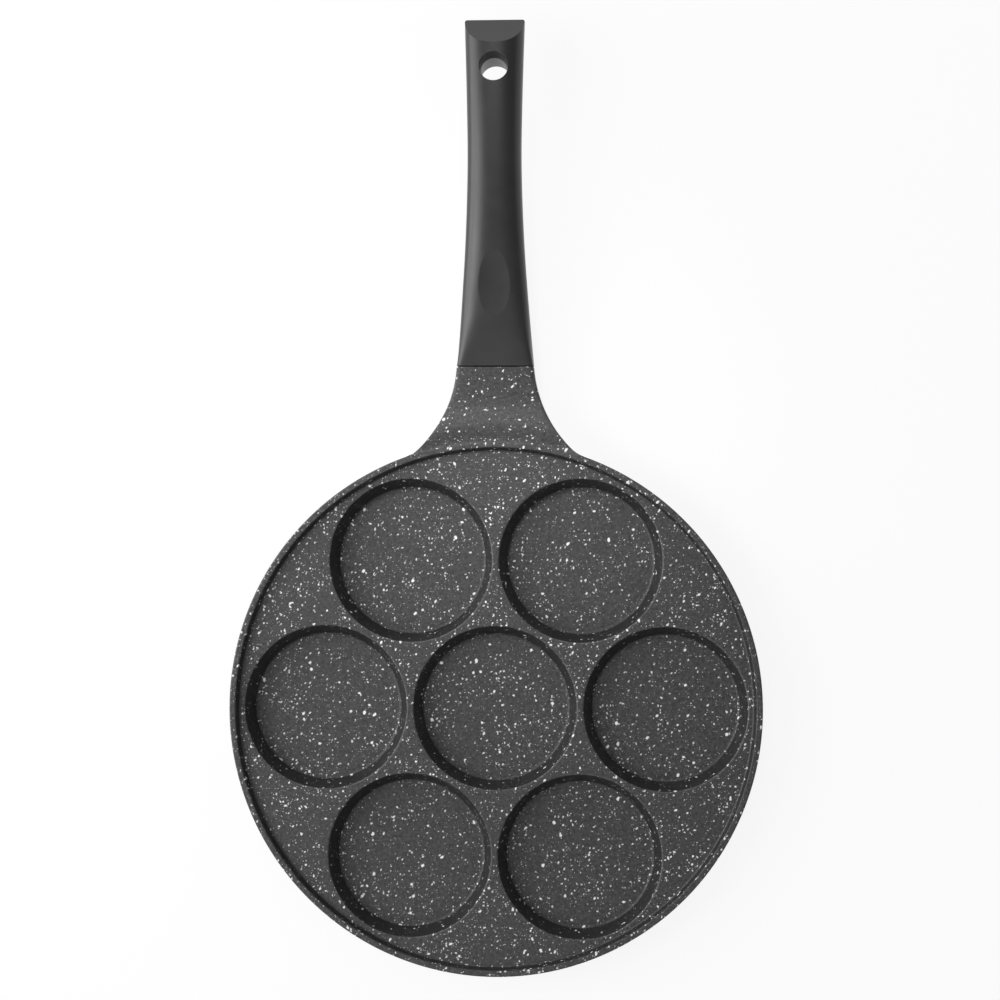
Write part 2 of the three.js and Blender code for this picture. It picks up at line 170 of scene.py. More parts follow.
def rounded(corners: Sequence[Corner]) -> list[Pair]:
    """Rounds the corners of an open line.

    Args:
        corners: (across, up, radius) of each corner; the two ends and corners of radius 0 stay sharp.

    Returns:
        The line's points, with an arc at each corner that has a radius.
    """
    line = [corners[0][:2]]
    for before, here, after in zip(corners, corners[1:], corners[2:]):
        radius = here[2]
        corner = Vector(here[:2])
        if radius == 0:
            line.append(here[:2])
            continue
        back = (Vector(before[:2]) - corner).normalized()
        on = (Vector(after[:2]) - corner).normalized()
        half = back.angle(on) / 2
        reach = radius / math.tan(half)
        centre = corner + (back + on).normalized() * radius / math.sin(half)
        spokes = [corner + way * reach - centre for way in (back, on)]
        start, end = (math.atan2(spoke.y, spoke.x) for spoke in spokes)
        bend = (end - start + math.pi) % math.tau - math.pi
        steps = max(2, math.ceil(abs(bend) / ARC_STEP))
        for i in range(steps + 1):
            angle = start + bend * i / steps
            line.append((centre.x + radius * math.cos(angle), centre.y + radius * math.sin(angle)))
    line.append(corners[-1][:2])
    return line


def draw_line(name: str, points: Sequence[Pair]) -> Shape:
    """Draws a line in the XZ plane: a plane merged to one point, which is extruded from point to point.

    Args:
        name: the new object's name.
        points: (across, up) of each point of the line.

    Returns:
        The new object, open in edit mode with the whole line selected.
    """
    clear_selection()
    bpy.ops.mesh.primitive_plane_add(size=1)
    shape = bpy.context.active_object
    shape.name = name
    open_mesh(shape)
    bpy.ops.mesh.merge(type="CENTER")
    bpy.ops.transform.translate(value=(points[0][0], 0, points[0][1]))
    for here, there in zip(points, points[1:]):
        step = (there[0] - here[0], 0, there[1] - here[1])
        bpy.ops.mesh.extrude_region_move(TRANSFORM_OT_translate={"value": step})
    bpy.ops.mesh.select_all(action="SELECT")
    return shape


def turn(name: str, points: Sequence[Pair], steps: int, angle: float = math.tau) -> Shape:
    """Turns a profile about Z.

    Args:
        name: the new object's name.
        points: (radius, height) of each point of the profile.
        steps: how many steps the turn has.
        angle: how far the profile goes round.

    Returns:
        The turned object, in object mode.
    """
    shape = draw_line(name, points)
    bpy.ops.mesh.spin(steps=steps, angle=angle, center=(0, 0, 0), axis=(0, 0, 1))
    close_mesh()
    return shape


def loft(name: str, rings: Sequence[Sequence[Vector]]) -> Shape:
    """Skins a row of rings: a filled circle is extruded from ring to ring, and its corners are put on each.

    Args:
        name: the new object's name.
        rings: rings of points, all with the same count.

    Returns:
        The closed object, in object mode.
    """
    clear_selection()
    bpy.ops.mesh.primitive_circle_add(vertices=len(rings[0]), fill_type="NGON")
    shape = bpy.context.active_object
    shape.name = name
    corner = shape.data.attributes.new("corner", "INT", "POINT")
    corner.data.foreach_set("value", range(len(rings[0])))
    open_mesh(shape)
    for i, ring in enumerate(rings):
        if i:
            bpy.ops.mesh.extrude_region_move()
        sketch = bmesh.from_edit_mesh(shape.data)
        layer = sketch.verts.layers.int["corner"]
        for vert in sketch.verts:
            if vert.select:
                vert.co = ring[vert[layer]]
        bmesh.update_edit_mesh(shape.data)
    close_mesh()
    shape.data.attributes.remove(shape.data.attributes["corner"])
    return shape


def rounded_end(radius: float, steps: int) -> list[Pair]:
    """A rounded edge at the end of a row of rings: each ring's distance before the end, and its inset."""
    angles = [math.pi / 2 * i / steps for i in range(1, steps + 1)]
    return [(radius * (1 - math.sin(angle)), radius * (1 - math.cos(angle))) for angle in angles]


def apply_modifier(shape: Shape, modifier: bpy.types.Modifier) -> None:
    """Applies one modifier to an object's mesh."""
    pick(shape)
    bpy.ops.object.modifier_apply(modifier=modifier.name)


def combine(shape: Shape, other: Shape, way: Meeting) -> None:
    """Joins another solid to a shape or cuts it away, and removes the other one.

    Args:
        shape: the solid that stays.
        other: the solid that is used up.
        way: how they meet.
    """
    modifier = shape.modifiers.new("meeting", "BOOLEAN")
    modifier.operation = way.value
    modifier.solver = "EXACT"
    modifier.object = other
    apply_modifier(shape, modifier)
    bpy.data.objects.remove(other)


def join_meshes(shapes: Sequence[Shape]) -> Shape:
    """Puts several meshes into the first one's object and welds them where they meet.

    Args:
        shapes: the objects to put together.

    Returns:
        The first object, open in edit mode.
    """
    pick(shapes[0])
    for shape in shapes[1:]:
        shape.select_set(True)
    bpy.ops.object.join()
    open_mesh(shapes[0])
    bpy.ops.mesh.remove_doubles(threshold=WELD)
    return shapes[0]


def copy_to(shape: Shape, places: Iterable[Pair]) -> None:
    """Copies an object's mesh, made at the origin, to each place, within the same object.

    Args:
        shape: the object, whose own mesh goes to the first place.
        places: (x, y) of each copy.
    """
    open_mesh(shape)
    here = Vector((0, 0))
    for i, place in enumerate(map(Vector, places)):
        step = (place - here).to_3d()
        if i:
            bpy.ops.mesh.duplicate_move(TRANSFORM_OT_translate={"value": step})
        else:
            bpy.ops.transform.translate(value=step)
        here = place
    bpy.ops.object.mode_set(mode="OBJECT")


def fill_level(shape: Shape, level: float) -> None:
    """Fills the flat face between the open edges at one height.

    Args:
        shape: the object that is open in edit mode.
        level: the height of those edges.
    """
    select_edges(
        shape,
        lambda edge: edge.is_boundary and all(abs(vert.co.z - level) < WELD for vert in edge.verts),
    )
    bpy.ops.mesh.fill(use_beauty=True)


def bar(name: str, size: Sequence[float], middle: Sequence[float], rounding: float) -> Shape:
    """A straight bar with rounded edges.

    Args:
        name: the new object's name.
        size: its width, length and height.
        middle: where its middle is.
        rounding: the width of its rounded edges.

    Returns:
        The bar, in object mode.
    """
    clear_selection()
    bpy.ops.mesh.primitive_cube_add(size=1, location=middle)
    shape = bpy.context.active_object
    shape.name = name
    shape.scale = size
    bpy.ops.object.transform_apply(location=True, rotation=False, scale=True)
    open_mesh(shape)
    bpy.ops.mesh.bevel(offset=rounding, segments=BEVEL_STEPS, affect="EDGES")
    close_mesh()
    return shape


def put(shape: Shape, place: Matrix) -> Shape:
    """Moves a shape's mesh to a place.

    Args:
        shape: the shape, made at the origin.
        place: where it goes, with its turn and its scale.

    Returns:
        The same shape.
    """
    pick(shape)
    shape.matrix_world = place
    bpy.ops.object.transform_apply(location=True, rotation=True, scale=True)
    return shape


def settle(shape: Shape, material: Material, node: Node, slot: Slot) -> None:
    """Finishes a piece: metres, smooth shading, its finish and its place in the frame.

    Args:
        shape: the piece, in millimetres.
        material: its finish.
        node: the solid that it stands for.
        slot: the record's slot of its finish; not used.
    """
    pick(shape)
    shape.data.name = shape.name
    shape.scale = (MM, MM, MM)
    bpy.ops.object.transform_apply(location=False, rotation=False, scale=True)
    bpy.ops.object.shade_smooth_by_angle(angle=SMOOTH_ANGLE)
    weighting = shape.modifiers.new("even_shading", "WEIGHTED_NORMAL")
    weighting.keep_sharp = True
    apply_modifier(shape, weighting)
    shape.data.materials.clear()
    shape.data.materials.append(material)
    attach(shape, BODY)
    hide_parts(node.value)
    LOG.info("%s: %d faces", shape.name, len(shape.data.polygons))


# Finishes


@dataclass(frozen=True)
class Grain:
    """Soft noise of one size.

    Attributes:
        size: the size of its blobs, in millimetres.
        detail: how many finer layers it has.
    """

    size: float
    detail: float = 2


@dataclass(frozen=True)
class Relief:
    """A fine bump.

    Attributes:
        depth: how deep it is, in millimetres.
        strength: how much of it shows.
    """

    depth: float
    strength: float


class Graph:
    """A material's nodes, with short ways to add and join them."""

    NUMBER_OPERATIONS = ("DOT_PRODUCT", "DISTANCE", "LENGTH")

    def __init__(self, name: str) -> None:
        """Starts a material with its shader.

        Args:
            name: the material's name.
        """
        self.material = bpy.data.materials.new(name)
        self.material.use_nodes = True
        self.tree = self.material.node_tree
        self.shader = self.tree.nodes["Principled BSDF"]

    def node(self, kind: str, **settings: object) -> bpy.types.Node:
        """Adds a node.

        Args:
            kind: the node's type.
            settings: its properties.

        Returns:
            The new node.
        """
        node = self.tree.nodes.new(kind)
        for name, value in settings.items():
            setattr(node, name, value)
        return node

    def feed(self, socket: Socket, value: Feed) -> None:
        """Joins an output to a socket, or sets the socket to a constant.

        Args:
            socket: the socket to feed.
            value: an output or a constant.
        """
        if isinstance(value, Socket):
            self.tree.links.new(value, socket)
        else:
            socket.default_value = value

    def surface(self, **values: Feed) -> None:
        """Feeds the shader's sockets, which are named with underscores for spaces."""
        for name, value in values.items():
            self.feed(self.shader.inputs[name.replace("_", " ")], value)

    def math(self, operation: str, *values: Feed) -> Socket:
        """Adds a Math node.

        Args:
            operation: what it works out.
            values: its inputs.

        Returns:
            Its result.
        """
        node = self.node("ShaderNodeMath", operation=operation)
        for socket, value in zip(node.inputs, values):
            self.feed(socket, value)
        return node.outputs[0]

    def vector_math(self, operation: str, *values: Feed) -> Socket:
        """Adds a Vector Math node.

        Args:
            operation: what it works out.
            values: its vectors, or a vector and its scale.

        Returns:
            The vector or the number that it gives.
        """
        node = self.node("ShaderNodeVectorMath", operation=operation)
        for name, value in zip((0, "Scale" if operation == "SCALE" else 1), values):
            self.feed(node.inputs[name], value)
        return node.outputs["Value" if operation in self.NUMBER_OPERATIONS else "Vector"]

    def part(self, vector: Feed, axis: str) -> Socket:
        """Takes one of a vector's three parts.

        Args:
            vector: the vector.
            axis: X, Y or Z.

        Returns:
            That part.
        """
        split = self.node("ShaderNodeSeparateXYZ")
        self.feed(split.inputs[0], vector)
        return split.outputs[axis]

    def remap(self, value: Feed, old: Sequence[Feed], new: Sequence[Feed]) -> Socket:
        """Maps one range onto another, and holds the value within it.

        Args:
            value: what is mapped.
            old: the range that it has.
            new: the range that it gets.

        Returns:
            The mapped value.
        """
        node = self.node("ShaderNodeMapRange")
        for socket, item in zip(node.inputs, (value, *old, *new)):
            self.feed(socket, item)
        return node.outputs[0]

    def blend(self, factor: Feed, first: Feed, second: Feed) -> Socket:
        """Mixes two colours.

        Args:
            factor: the second colour's share.
            first: a colour.
            second: another colour.

        Returns:
            The mixed colour.
        """
        node = self.node("ShaderNodeMix", data_type="RGBA")
        sockets = [socket for socket in node.inputs if socket.type == "RGBA"]
        self.feed(node.inputs["Factor"], factor)
        self.feed(sockets[0], first)
        self.feed(sockets[1], second)
        return next(socket for socket in node.outputs if socket.type == "RGBA")

    def place(self) -> Socket:
        """The place on the piece, in millimetres."""
        return self.vector_math("SCALE", self.node("ShaderNodeTexCoord").outputs["Object"], 1 / MM)

    def noise(self, place: Feed, grain: Grain, output: str = "Fac") -> Socket:
        """Adds soft noise, which lies mostly within NOISE_SPAN.

        Args:
            place: where it is read.
            grain: its size.
            output: Fac for one number, Color for three.

        Returns:
            The noise.
        """
        node = self.node("ShaderNodeTexNoise")
        self.feed(node.inputs["Vector"], place)
        node.inputs["Scale"].default_value = 1 / grain.size
        node.inputs["Detail"].default_value = grain.detail
        return node.outputs[output]

    def bump(self, height: Feed, relief: Relief) -> Socket:
        """Roughens the surface by a height.

        Args:
            height: from 0 to 1.
            relief: how deep 1 is, and how much of it shows.

        Returns:
            The bumped normal.
        """
        node = self.node("ShaderNodeBump")
        node.inputs["Strength"].default_value = relief.strength
        node.inputs["Distance"].default_value = relief.depth * MM
        self.feed(node.inputs["Height"], height)
        return node.outputs[0]


def grey(level: float) -> Colour:
    """An opaque neutral colour."""
    return (level, level, level, 1)


@dataclass(frozen=True)
class Specks:
    """One size of light speck in the stone coating.

    Attributes:
        spacing: millimetres between the places where a speck can be.
        radius: the smallest and the largest radius, in millimetres.
        share: the part of the places that hold a speck.
        light: the faintest and the lightest speck.
    """

    spacing: float
    radius: Pair
    share: float
    light: Pair


@dataclass(frozen=True)
class StoneCoating:
    """Dark non-stick coating with sprayed light specks.

    Attributes:
        sizes: the sizes of speck.
        ground: the darkest and lightest ground between the specks.
        speck: the specks' level.
        raggedness: how far a speck's outline strays, in millimetres.
        strays: the grain of those strays.
        softness: how soft its edge is, as a share of the smallest radius.
        flatness: how many times wider than thick a speck is.
        clouds: the grain of the loose clouds that the specks lie in.
        cloud_share: how many specks lie between the clouds and in them.
        wall_tilt: the upward part of the normal on the steep walls, where the specks thin out and the
            ground is darkened as painted shade.
        wall_ease: how far from that tilt the walls begin and end to count as steep.
        wall_share: how many specks the walls keep.
        painted_wall_shade: how much of the ground's lightness the steep walls keep, which paints shade on
            them.
        neck_from: where along Y the spray begins and ends to thin out, in millimetres.
        neck_share: how many specks the neck keeps.
        highlight_heights: the lowest and highest part of the wells' rounded edges, where a highlight is
            painted, in millimetres.
        highlight_ease: over how many millimetres that band begins and ends.
        highlight_tilt: the upward part of the normal where the painted highlight begins and where it is
            full.
        highlight_gain: how many times lighter the ground is painted on those edges, as a highlight.
        mottle: the grain of the ground's mottling.
        grain: the grain of the surface.
        speck_relief: how far a speck stands proud, as a share of the grain's height.
        relief: the bump of the grain and the specks.
        roughness: the least and the greatest roughness.
    """

    MIDDLE = (0.5, 0.5, 0.5)

    sizes: tuple[Specks, ...] = (
        Specks(spacing=5.0, radius=(0.5, 1.08), share=0.95, light=(0.85, 1.0)),
        Specks(spacing=2.1, radius=(0.28, 0.68), share=0.85, light=(0.65, 1.0)),
        Specks(spacing=1.15, radius=(0.15, 0.4), share=0.65, light=(0.2, 0.75)),
    )
    ground: Pair = (0.015, 0.055)
    speck: float = 0.85
    raggedness: float = 0.4
    strays: Grain = Grain(0.7)
    softness: float = 0.3
    flatness: float = 1.9
    clouds: Grain = Grain(14)
    cloud_share: Pair = (0.3, 1.25)
    wall_tilt: float = 0.33
    wall_ease: Pair = (0.15, 0.4)
    wall_share: float = 0.35
    painted_wall_shade: float = 0.5
    neck_from: Pair = (116, 134)
    neck_share: float = 0.45
    highlight_heights: Pair = (16.1, 16.8)
    highlight_ease: float = 0.1
    highlight_tilt: Pair = (0.3, 0.4)
    highlight_gain: float = 1.8
    mottle: Grain = Grain(1.3)
    grain: Grain = Grain(0.35, detail=3)
    speck_relief: float = 0.6
    relief: Relief = Relief(depth=0.03, strength=0.6)
    roughness: Pair = (0.46, 0.56)

    def material(self) -> Material:
        """Makes the coating's nodes.

        Returns:
            The material.
        """
        graph = Graph("stone_coating")
        place = graph.place()
        stray = graph.noise(place, self.strays, output="Color")
        drift = graph.vector_math("SUBTRACT", stray, self.MIDDLE)
        ragged = graph.vector_math("ADD", place, graph.vector_math("SCALE", drift, 2 * self.raggedness))
        upward = graph.part(graph.node("ShaderNodeTexCoord").outputs["Normal"], "Z")
        # The steep walls, picked by the tilt of the normal: fewer specks there, and painted shade on their
        # ground.
        off_tilt = graph.math("ABSOLUTE", graph.math("SUBTRACT", upward, self.wall_tilt))
        steep = graph.remap(off_tilt, self.wall_ease, (1, 0))
        density = self.density(graph, place, steep)
        specks = 0.0
        for size in self.sizes:
            specks = graph.math("MAXIMUM", specks, self.layer(graph, ragged, density, size))
        grain = graph.noise(place, self.grain)
        mottle = graph.noise(place, self.mottle)
        ground = graph.blend(graph.remap(mottle, NOISE_SPAN, (0, 1)), *map(grey, self.ground))
        # Painted shade darkens the ground on the steep walls; a painted highlight lightens it on the wells'
        # rounded edges.
        lightness = graph.math(
            "MULTIPLY",
            graph.remap(steep, (0, 1), (1, self.painted_wall_shade)),
            graph.remap(self.painted_edge_highlight(graph, place, upward), (0, 1), (1, self.highlight_gain)),
        )
        ground = graph.vector_math("SCALE", ground, lightness)
        height = graph.math("ADD", graph.math("MULTIPLY", specks, self.speck_relief), grain)
        graph.surface(
            Base_Color=graph.blend(specks, ground, grey(self.speck)),
            Roughness=graph.remap(grain, NOISE_SPAN, self.roughness),
            Normal=graph.bump(height, self.relief),
        )
        return graph.material

    def painted_edge_highlight(self, graph: Graph, place: Feed, upward: Feed) -> Socket:
        """Where a highlight is painted on the wells' rounded edges: in a band just below the deck, on faces
        that look up.

        Args:
            graph: the material's nodes.
            place: the place in millimetres.
            upward: the upward part of the normal.

        Returns:
            How strong the painted highlight is, from 0 to 1.
        """
        low, high = self.highlight_heights
        height = graph.part(place, "Z")
        above = graph.remap(height, (low - self.highlight_ease, low + self.highlight_ease), (0, 1))
        below = graph.remap(height, (high - self.highlight_ease, high), (1, 0))
        band = graph.math("MULTIPLY", above, below)
        return graph.math("MULTIPLY", band, graph.remap(upward, self.highlight_tilt, (0, 1)))

    def density(self, graph: Graph, place: Feed, steep: Feed) -> Socket:
        """How thickly the specks lie: in loose clouds, and thinly on the steep walls and on the neck.

        Args:
            graph: the material's nodes.
            place: the place in millimetres.
            steep: where the steep walls are.

        Returns:
            A factor on the share of places that hold a speck.
        """
        cloud = graph.remap(graph.noise(place, self.clouds), NOISE_SPAN, self.cloud_share)
        on_neck = graph.remap(graph.part(place, "Y"), self.neck_from, (1, self.neck_share))
        on_wall = graph.remap(steep, (0, 1), (1, self.wall_share))
        return graph.math("MULTIPLY", cloud, graph.math("MULTIPLY", on_neck, on_wall))

    def layer(self, graph: Graph, place: Feed, density: Feed, size: Specks) -> Socket:
        """One size of specks.

        Args:
            graph: the material's nodes.
            place: the place in millimetres, already ragged.
            density: the factor on the share of places that hold a speck.
            size: the specks' sizes.

        Returns:
            How light the surface is, from 0 between the specks to 1 in the lightest.
        """
        cells = graph.node("ShaderNodeTexVoronoi")
        graph.feed(cells.inputs["Vector"], place)
        cells.inputs["Scale"].default_value = 1 / size.spacing
        chance = graph.node("ShaderNodeSeparateColor")
        graph.feed(chance.inputs[0], cells.outputs["Color"])
        away = graph.vector_math("SUBTRACT", place, cells.outputs["Position"])
        lean = graph.vector_math("SUBTRACT", cells.outputs["Color"], self.MIDDLE)
        thin = graph.vector_math("NORMALIZE", lean)
        stretch = graph.math("MULTIPLY", graph.vector_math("DOT_PRODUCT", away, thin), 1 - self.flatness)
        reach = graph.vector_math("DISTANCE", away, graph.vector_math("SCALE", thin, stretch))
        radius = graph.remap(chance.outputs["Red"], (0, 1), size.radius)
        edge = self.softness * size.radius[0]
        inside = graph.remap(graph.math("SUBTRACT", radius, reach), (-edge, edge), (0, 1))
        held = graph.math("LESS_THAN", chance.outputs["Green"], graph.math("MULTIPLY", density, size.share))
        light = graph.remap(chance.outputs["Blue"], (0, 1), size.light)
        return graph.math("MULTIPLY", graph.math("MULTIPLY", inside, held), light)


@dataclass(frozen=True)
class SatinPhenolic:
    """Black moulded phenolic with a fine satin grain.

    Attributes:
        level: the colour's darkest and lightest level.
        flow: the grain of the marks that the moulding's flow leaves.
        grain: the grain of the surface.
        relief: that grain's bump.
        roughness: the least and the greatest roughness.
    """

    level: Pair = (0.014, 0.02)
    flow: Grain = Grain(14)
    grain: Grain = Grain(0.25, detail=3)
    relief: Relief = Relief(depth=0.01, strength=0.5)
    roughness: Pair = (0.33, 0.39)

    def material(self) -> Material:
        """Makes the moulding's nodes.

        Returns:
            The material.
        """
        graph = Graph("satin_phenolic")
        place = graph.place()
        grain = graph.noise(place, self.grain)
        flow = graph.noise(place, self.flow)
        graph.surface(
            Base_Color=graph.blend(flow, *map(grey, self.level)),
            Roughness=graph.remap(flow, NOISE_SPAN, self.roughness),
            Normal=graph.bump(grain, self.relief),
        )
        return graph.material


@dataclass(frozen=True)
class BrushedSteel:
    """Stainless steel, brushed in circles about the pan's middle.

    Attributes:
        level: the metal's darkest and lightest level.
        strokes: the grain of the brush lines, from one to the next.
        relief: the brush lines' bump.
        clouds: the grain of the duller and brighter patches.
        gloss_span: the range of the brush lines' and the clouds' product.
        roughness: the least and the greatest roughness.
    """

    FLAT = (1, 1, 0)

    level: Pair = (0.36, 0.48)
    strokes: Grain = Grain(0.12, detail=4)
    relief: Relief = Relief(depth=0.01, strength=0.35)
    clouds: Grain = Grain(30)
    gloss_span: Pair = (0.1, 0.4)
    roughness: Pair = (0.3, 0.42)

    def material(self) -> Material:
        """Makes the steel's nodes.

        Returns:
            The material.
        """
        graph = Graph("brushed_steel")
        place = graph.place()
        from_middle = graph.vector_math("LENGTH", graph.vector_math("MULTIPLY", place, self.FLAT))
        rings = graph.node("ShaderNodeTexNoise", noise_dimensions="1D")
        graph.feed(rings.inputs["W"], from_middle)
        rings.inputs["Scale"].default_value = 1 / self.strokes.size
        rings.inputs["Detail"].default_value = self.strokes.detail
        strokes = rings.outputs["Fac"]
        cloud = graph.noise(place, self.clouds)
        graph.surface(
            Base_Color=graph.blend(strokes, *map(grey, self.level)),
            Metallic=1.0,
            Roughness=graph.remap(graph.math("MULTIPLY", strokes, cloud), self.gloss_span, self.roughness),
            Normal=graph.bump(strokes, self.relief),
        )
        return graph.material


@dataclass(frozen=True)
class ZincPlate:
    """Bright zinc plating on the screw and its washers.

    Attributes:
        dull: the colour where the plating is dull.
        bright: the colour where it is bright.
        spangle: the grain of the dull and bright patches.
        grain: the grain of the surface.
        relief: that grain's bump.
        roughness: the least and the greatest roughness.
    """

    dull: Colour = (0.4, 0.41, 0.43, 1)
    bright: Colour = (0.56, 0.57, 0.58, 1)
    spangle: Grain = Grain(1.2, detail=3)
    grain: Grain = Grain(0.15)
    relief: Relief = Relief(depth=0.005, strength=0.4)
    roughness: Pair = (0.26, 0.4)

    def material(self) -> Material:
        """Makes the plating's nodes.

        Returns:
            The material.
        """
        graph = Graph("zinc_plate")
        place = graph.place()
        spangle = graph.noise(place, self.spangle)
        graph.surface(
            Base_Color=graph.blend(spangle, self.dull, self.bright),
            Metallic=1.0,
            Roughness=graph.remap(spangle, NOISE_SPAN, self.roughness),
            Normal=graph.bump(graph.noise(place, self.grain), self.relief),
        )
        return graph.material


# Shapes that the pieces share


def mix(first: float, second: float, share: float) -> float:
    """The value that lies a share of the way from one value to another."""
    return first + (second - first) * share


def eased_run(past: float, easing: float) -> float:
    """How much of a run counts, where it sets in gently.

    Args:
        past: the distance past the run's start.
        easing: the length over which it sets in.

    Returns:
        The length that counts, which is 0 before the start.
    """
    run = max(past, 0.0)
    eased = min(run, easing)
    return run - eased + eased**2 / (2 * easing)


def ring_places(count: int, radius: float) -> list[Pair]:
    """Places spaced evenly on a circle about the origin, the first on the X axis."""
    angles = [math.tau * i / count for i in range(count)]
    return [(radius * math.cos(angle), radius * math.sin(angle)) for angle in angles]


@dataclass(frozen=True)
class StationCurve:
    """A smooth curve through values at a row of stations.

    Attributes:
        stations: the distances at which the values hold.
        values: the values there.
    """

    stations: Numbers
    values: Numbers

    def slope(self, i: int) -> float:
        """The curve's slope at one station, from its neighbours."""
        before, after = max(i - 1, 0), min(i + 1, len(self.values) - 1)
        return (self.values[after] - self.values[before]) / (self.stations[after] - self.stations[before])

    def at(self, distance: float) -> float:
        """The curve's value at a distance.

        Args:
            distance: where the curve is read.

        Returns:
            The value of the cubic between the stations on both sides.
        """
        last = len(self.stations) - 2
        i = next((k for k in range(last) if distance < self.stations[k + 1]), last)
        run = self.stations[i + 1] - self.stations[i]
        t = (distance - self.stations[i]) / run
        first, second = self.values[i], self.values[i + 1]
        lean = self.slope(i) * run * (t - 2 * t**2 + t**3)
        return mix(first, second, t * t * (3 - 2 * t)) + lean + self.slope(i + 1) * run * (t**3 - t**2)


@dataclass(frozen=True)
class Section:
    """A cross-section about its widest line: a flat or rounded crown over a rounder belly.

    Attributes:
        half_width: half its greatest width.
        crown: its height above the widest line.
        belly: its depth below that line.
        top_power: how square the crown is; 2 is an ellipse.
        belly_power: how square the belly is.
        taper: how far each side of the crown draws in towards its top.
        camber: how far the top falls from its middle to its edges.
    """

    half_width: float
    crown: float
    belly: float
    top_power: float
    belly_power: float
    taper: float = 0.0
    camber: float = 0.0

    def ring(self, y: float, line: float, count: int, inset: float = 0) -> list[Vector]:
        """The section's outline at one place along Y.

        Args:
            y: the place along the handle.
            line: the height of its widest line.
            count: how many points go round.
            inset: how far the outline is drawn in.

        Returns:
            Points that lie closer together where the outline turns.
        """
        across = self.half_width - inset
        crown, belly = self.crown - inset, self.belly - inset
        over = [
            Vector((x * (across - self.taper * z * z), z * (crown - self.camber * x * x)))
            for x, z in half_squircle(self.top_power)
        ]
        under = [Vector((-x * across, -z * belly)) for x, z in half_squircle(self.belly_power)]
        points = spread(over, count // 2) + spread(under, count // 2)
        return [Vector((point.x, y, line + point.y)) for point in points]


def half_squircle(power: float, samples: int = 120) -> list[Pair]:
    """The upper half of a superellipse with a radius of 1.

    Args:
        power: how square it is; 2 is a circle.
        samples: the steps on each of its two sides and on each half of its top.

    Returns:
        Points from its right end to its left end.
    """
    corner = 0.5 ** (1 / power)

    def partner(value: float) -> float:
        """The other coordinate of the point that has this one."""
        return max(1 - abs(value) ** power, 0) ** (1 / power)

    right = [(partner(corner * i / samples), corner * i / samples) for i in range(samples)]
    top = [(corner * i / samples, partner(corner * i / samples)) for i in range(samples, -samples, -1)]
    return right + top + [(-x, z) for x, z in [(corner, corner), *reversed(right)]]


def spread(line: Sequence[Vector], count: int, turn_weight: float = 5.0) -> list[Vector]:
    """Spreads points along a fine line, closer together where it turns.

    Args:
        line: the fine line's points.
        count: how many points are wanted; the line's own last point isn't one of them.
        turn_weight: the length that counts as much as one radian of turn.

    Returns:
        The points.
    """
    paces = [0.0]
    before = line[1] - line[0]
    for here, there in zip(line, line[1:]):
        step = there - here
        paces.append(paces[-1] + step.length + turn_weight * before.angle(step))
        before = step
    points = []
    k = 0
    for i in range(count):
        wanted = paces[-1] * i / count
        while paces[k + 1] < wanted:
            k += 1
        points.append(line[k].lerp(line[k + 1], (wanted - paces[k]) / (paces[k + 1] - paces[k])))
    return points


@dataclass(frozen=True)
class Levels:
    """Heights of the casting, from the surface that the pan stands on."""

    disc_thickness: float = 0.8
    disc_proud: float = 0.3
    floor_thickness: float = 4.0
    well_depth: float = 12.0
    lip_height: float = 4.5

    @property
    def base(self) -> float:
        """The casting's underside."""
        return self.disc_proud

    @property
    def floor(self) -> float:
        """The wells' floors."""
        return self.disc_thickness + self.floor_thickness

    @property
    def deck(self) -> float:
        """The flat deck between the wells."""
        return self.floor + self.well_depth

    @property
    def rim(self) -> float:
        """The top of the lip."""
        return self.deck + self.lip_height


@dataclass(frozen=True)
class GripShape:
    """The handle's run: its widest line and its sections, which the neck takes over at the junction."""

    LENGTH = 167.4
    STATIONS = (0, 25, 60, 97, 130, LENGTH)
    EDGE_STATIONS = (0, 12, 25, 45, 70, LENGTH)

    levels: Levels = Levels()
    junction: float = 166.0
    length: float = LENGTH
    start_below_rim: float = 3.7
    start_slope: float = 0.2
    arc_radius: float = 754.0
    width: StationCurve = StationCurve(STATIONS, (37.6, 33.4, 28.6, 26.2, 27, 29.1))
    crown: StationCurve = StationCurve(STATIONS, (7.5, 7.7, 8.2, 8.8, 9.3, 9.6))
    belly: StationCurve = StationCurve(STATIONS, (9.5, 12.3, 12, 11, 10.7, 10.5))
    top_power: StationCurve = StationCurve(EDGE_STATIONS, (13, 10, 5.5, 3.1, 2.5, 2.3))
    taper: StationCurve = StationCurve(EDGE_STATIONS, (0, 1.5, 2.2, 0.8, 0, 0))
    camber: StationCurve = StationCurve(EDGE_STATIONS, (0.2, 0.8, 1.0, 0.3, 0, 0))
    belly_power: float = 2.5

    def line(self, distance: float) -> float:
        """The height of the widest line at a distance from the junction."""
        rise = self.start_slope * distance - distance**2 / (2 * self.arc_radius)
        return self.levels.rim - self.start_below_rim + rise

    def slope(self, distance: float) -> float:
        """The slope of the widest line at a distance from the junction."""
        return self.start_slope - distance / self.arc_radius

    def top(self, distance: float) -> float:
        """The height of the handle's crest at a distance from the junction."""
        return self.line(distance) + self.crown.at(distance)

    def section(self, distance: float) -> Section:
        """The handle's section at one place.

        Args:
            distance: millimetres from the junction.

        Returns:
            The section there.
        """
        return Section(
            half_width=self.width.at(distance) / 2,
            crown=self.crown.at(distance),
            belly=self.belly.at(distance),
            top_power=self.top_power.at(distance),
            belly_power=self.belly_power,
            taper=self.taper.at(distance),
            camber=self.camber.at(distance),
        )


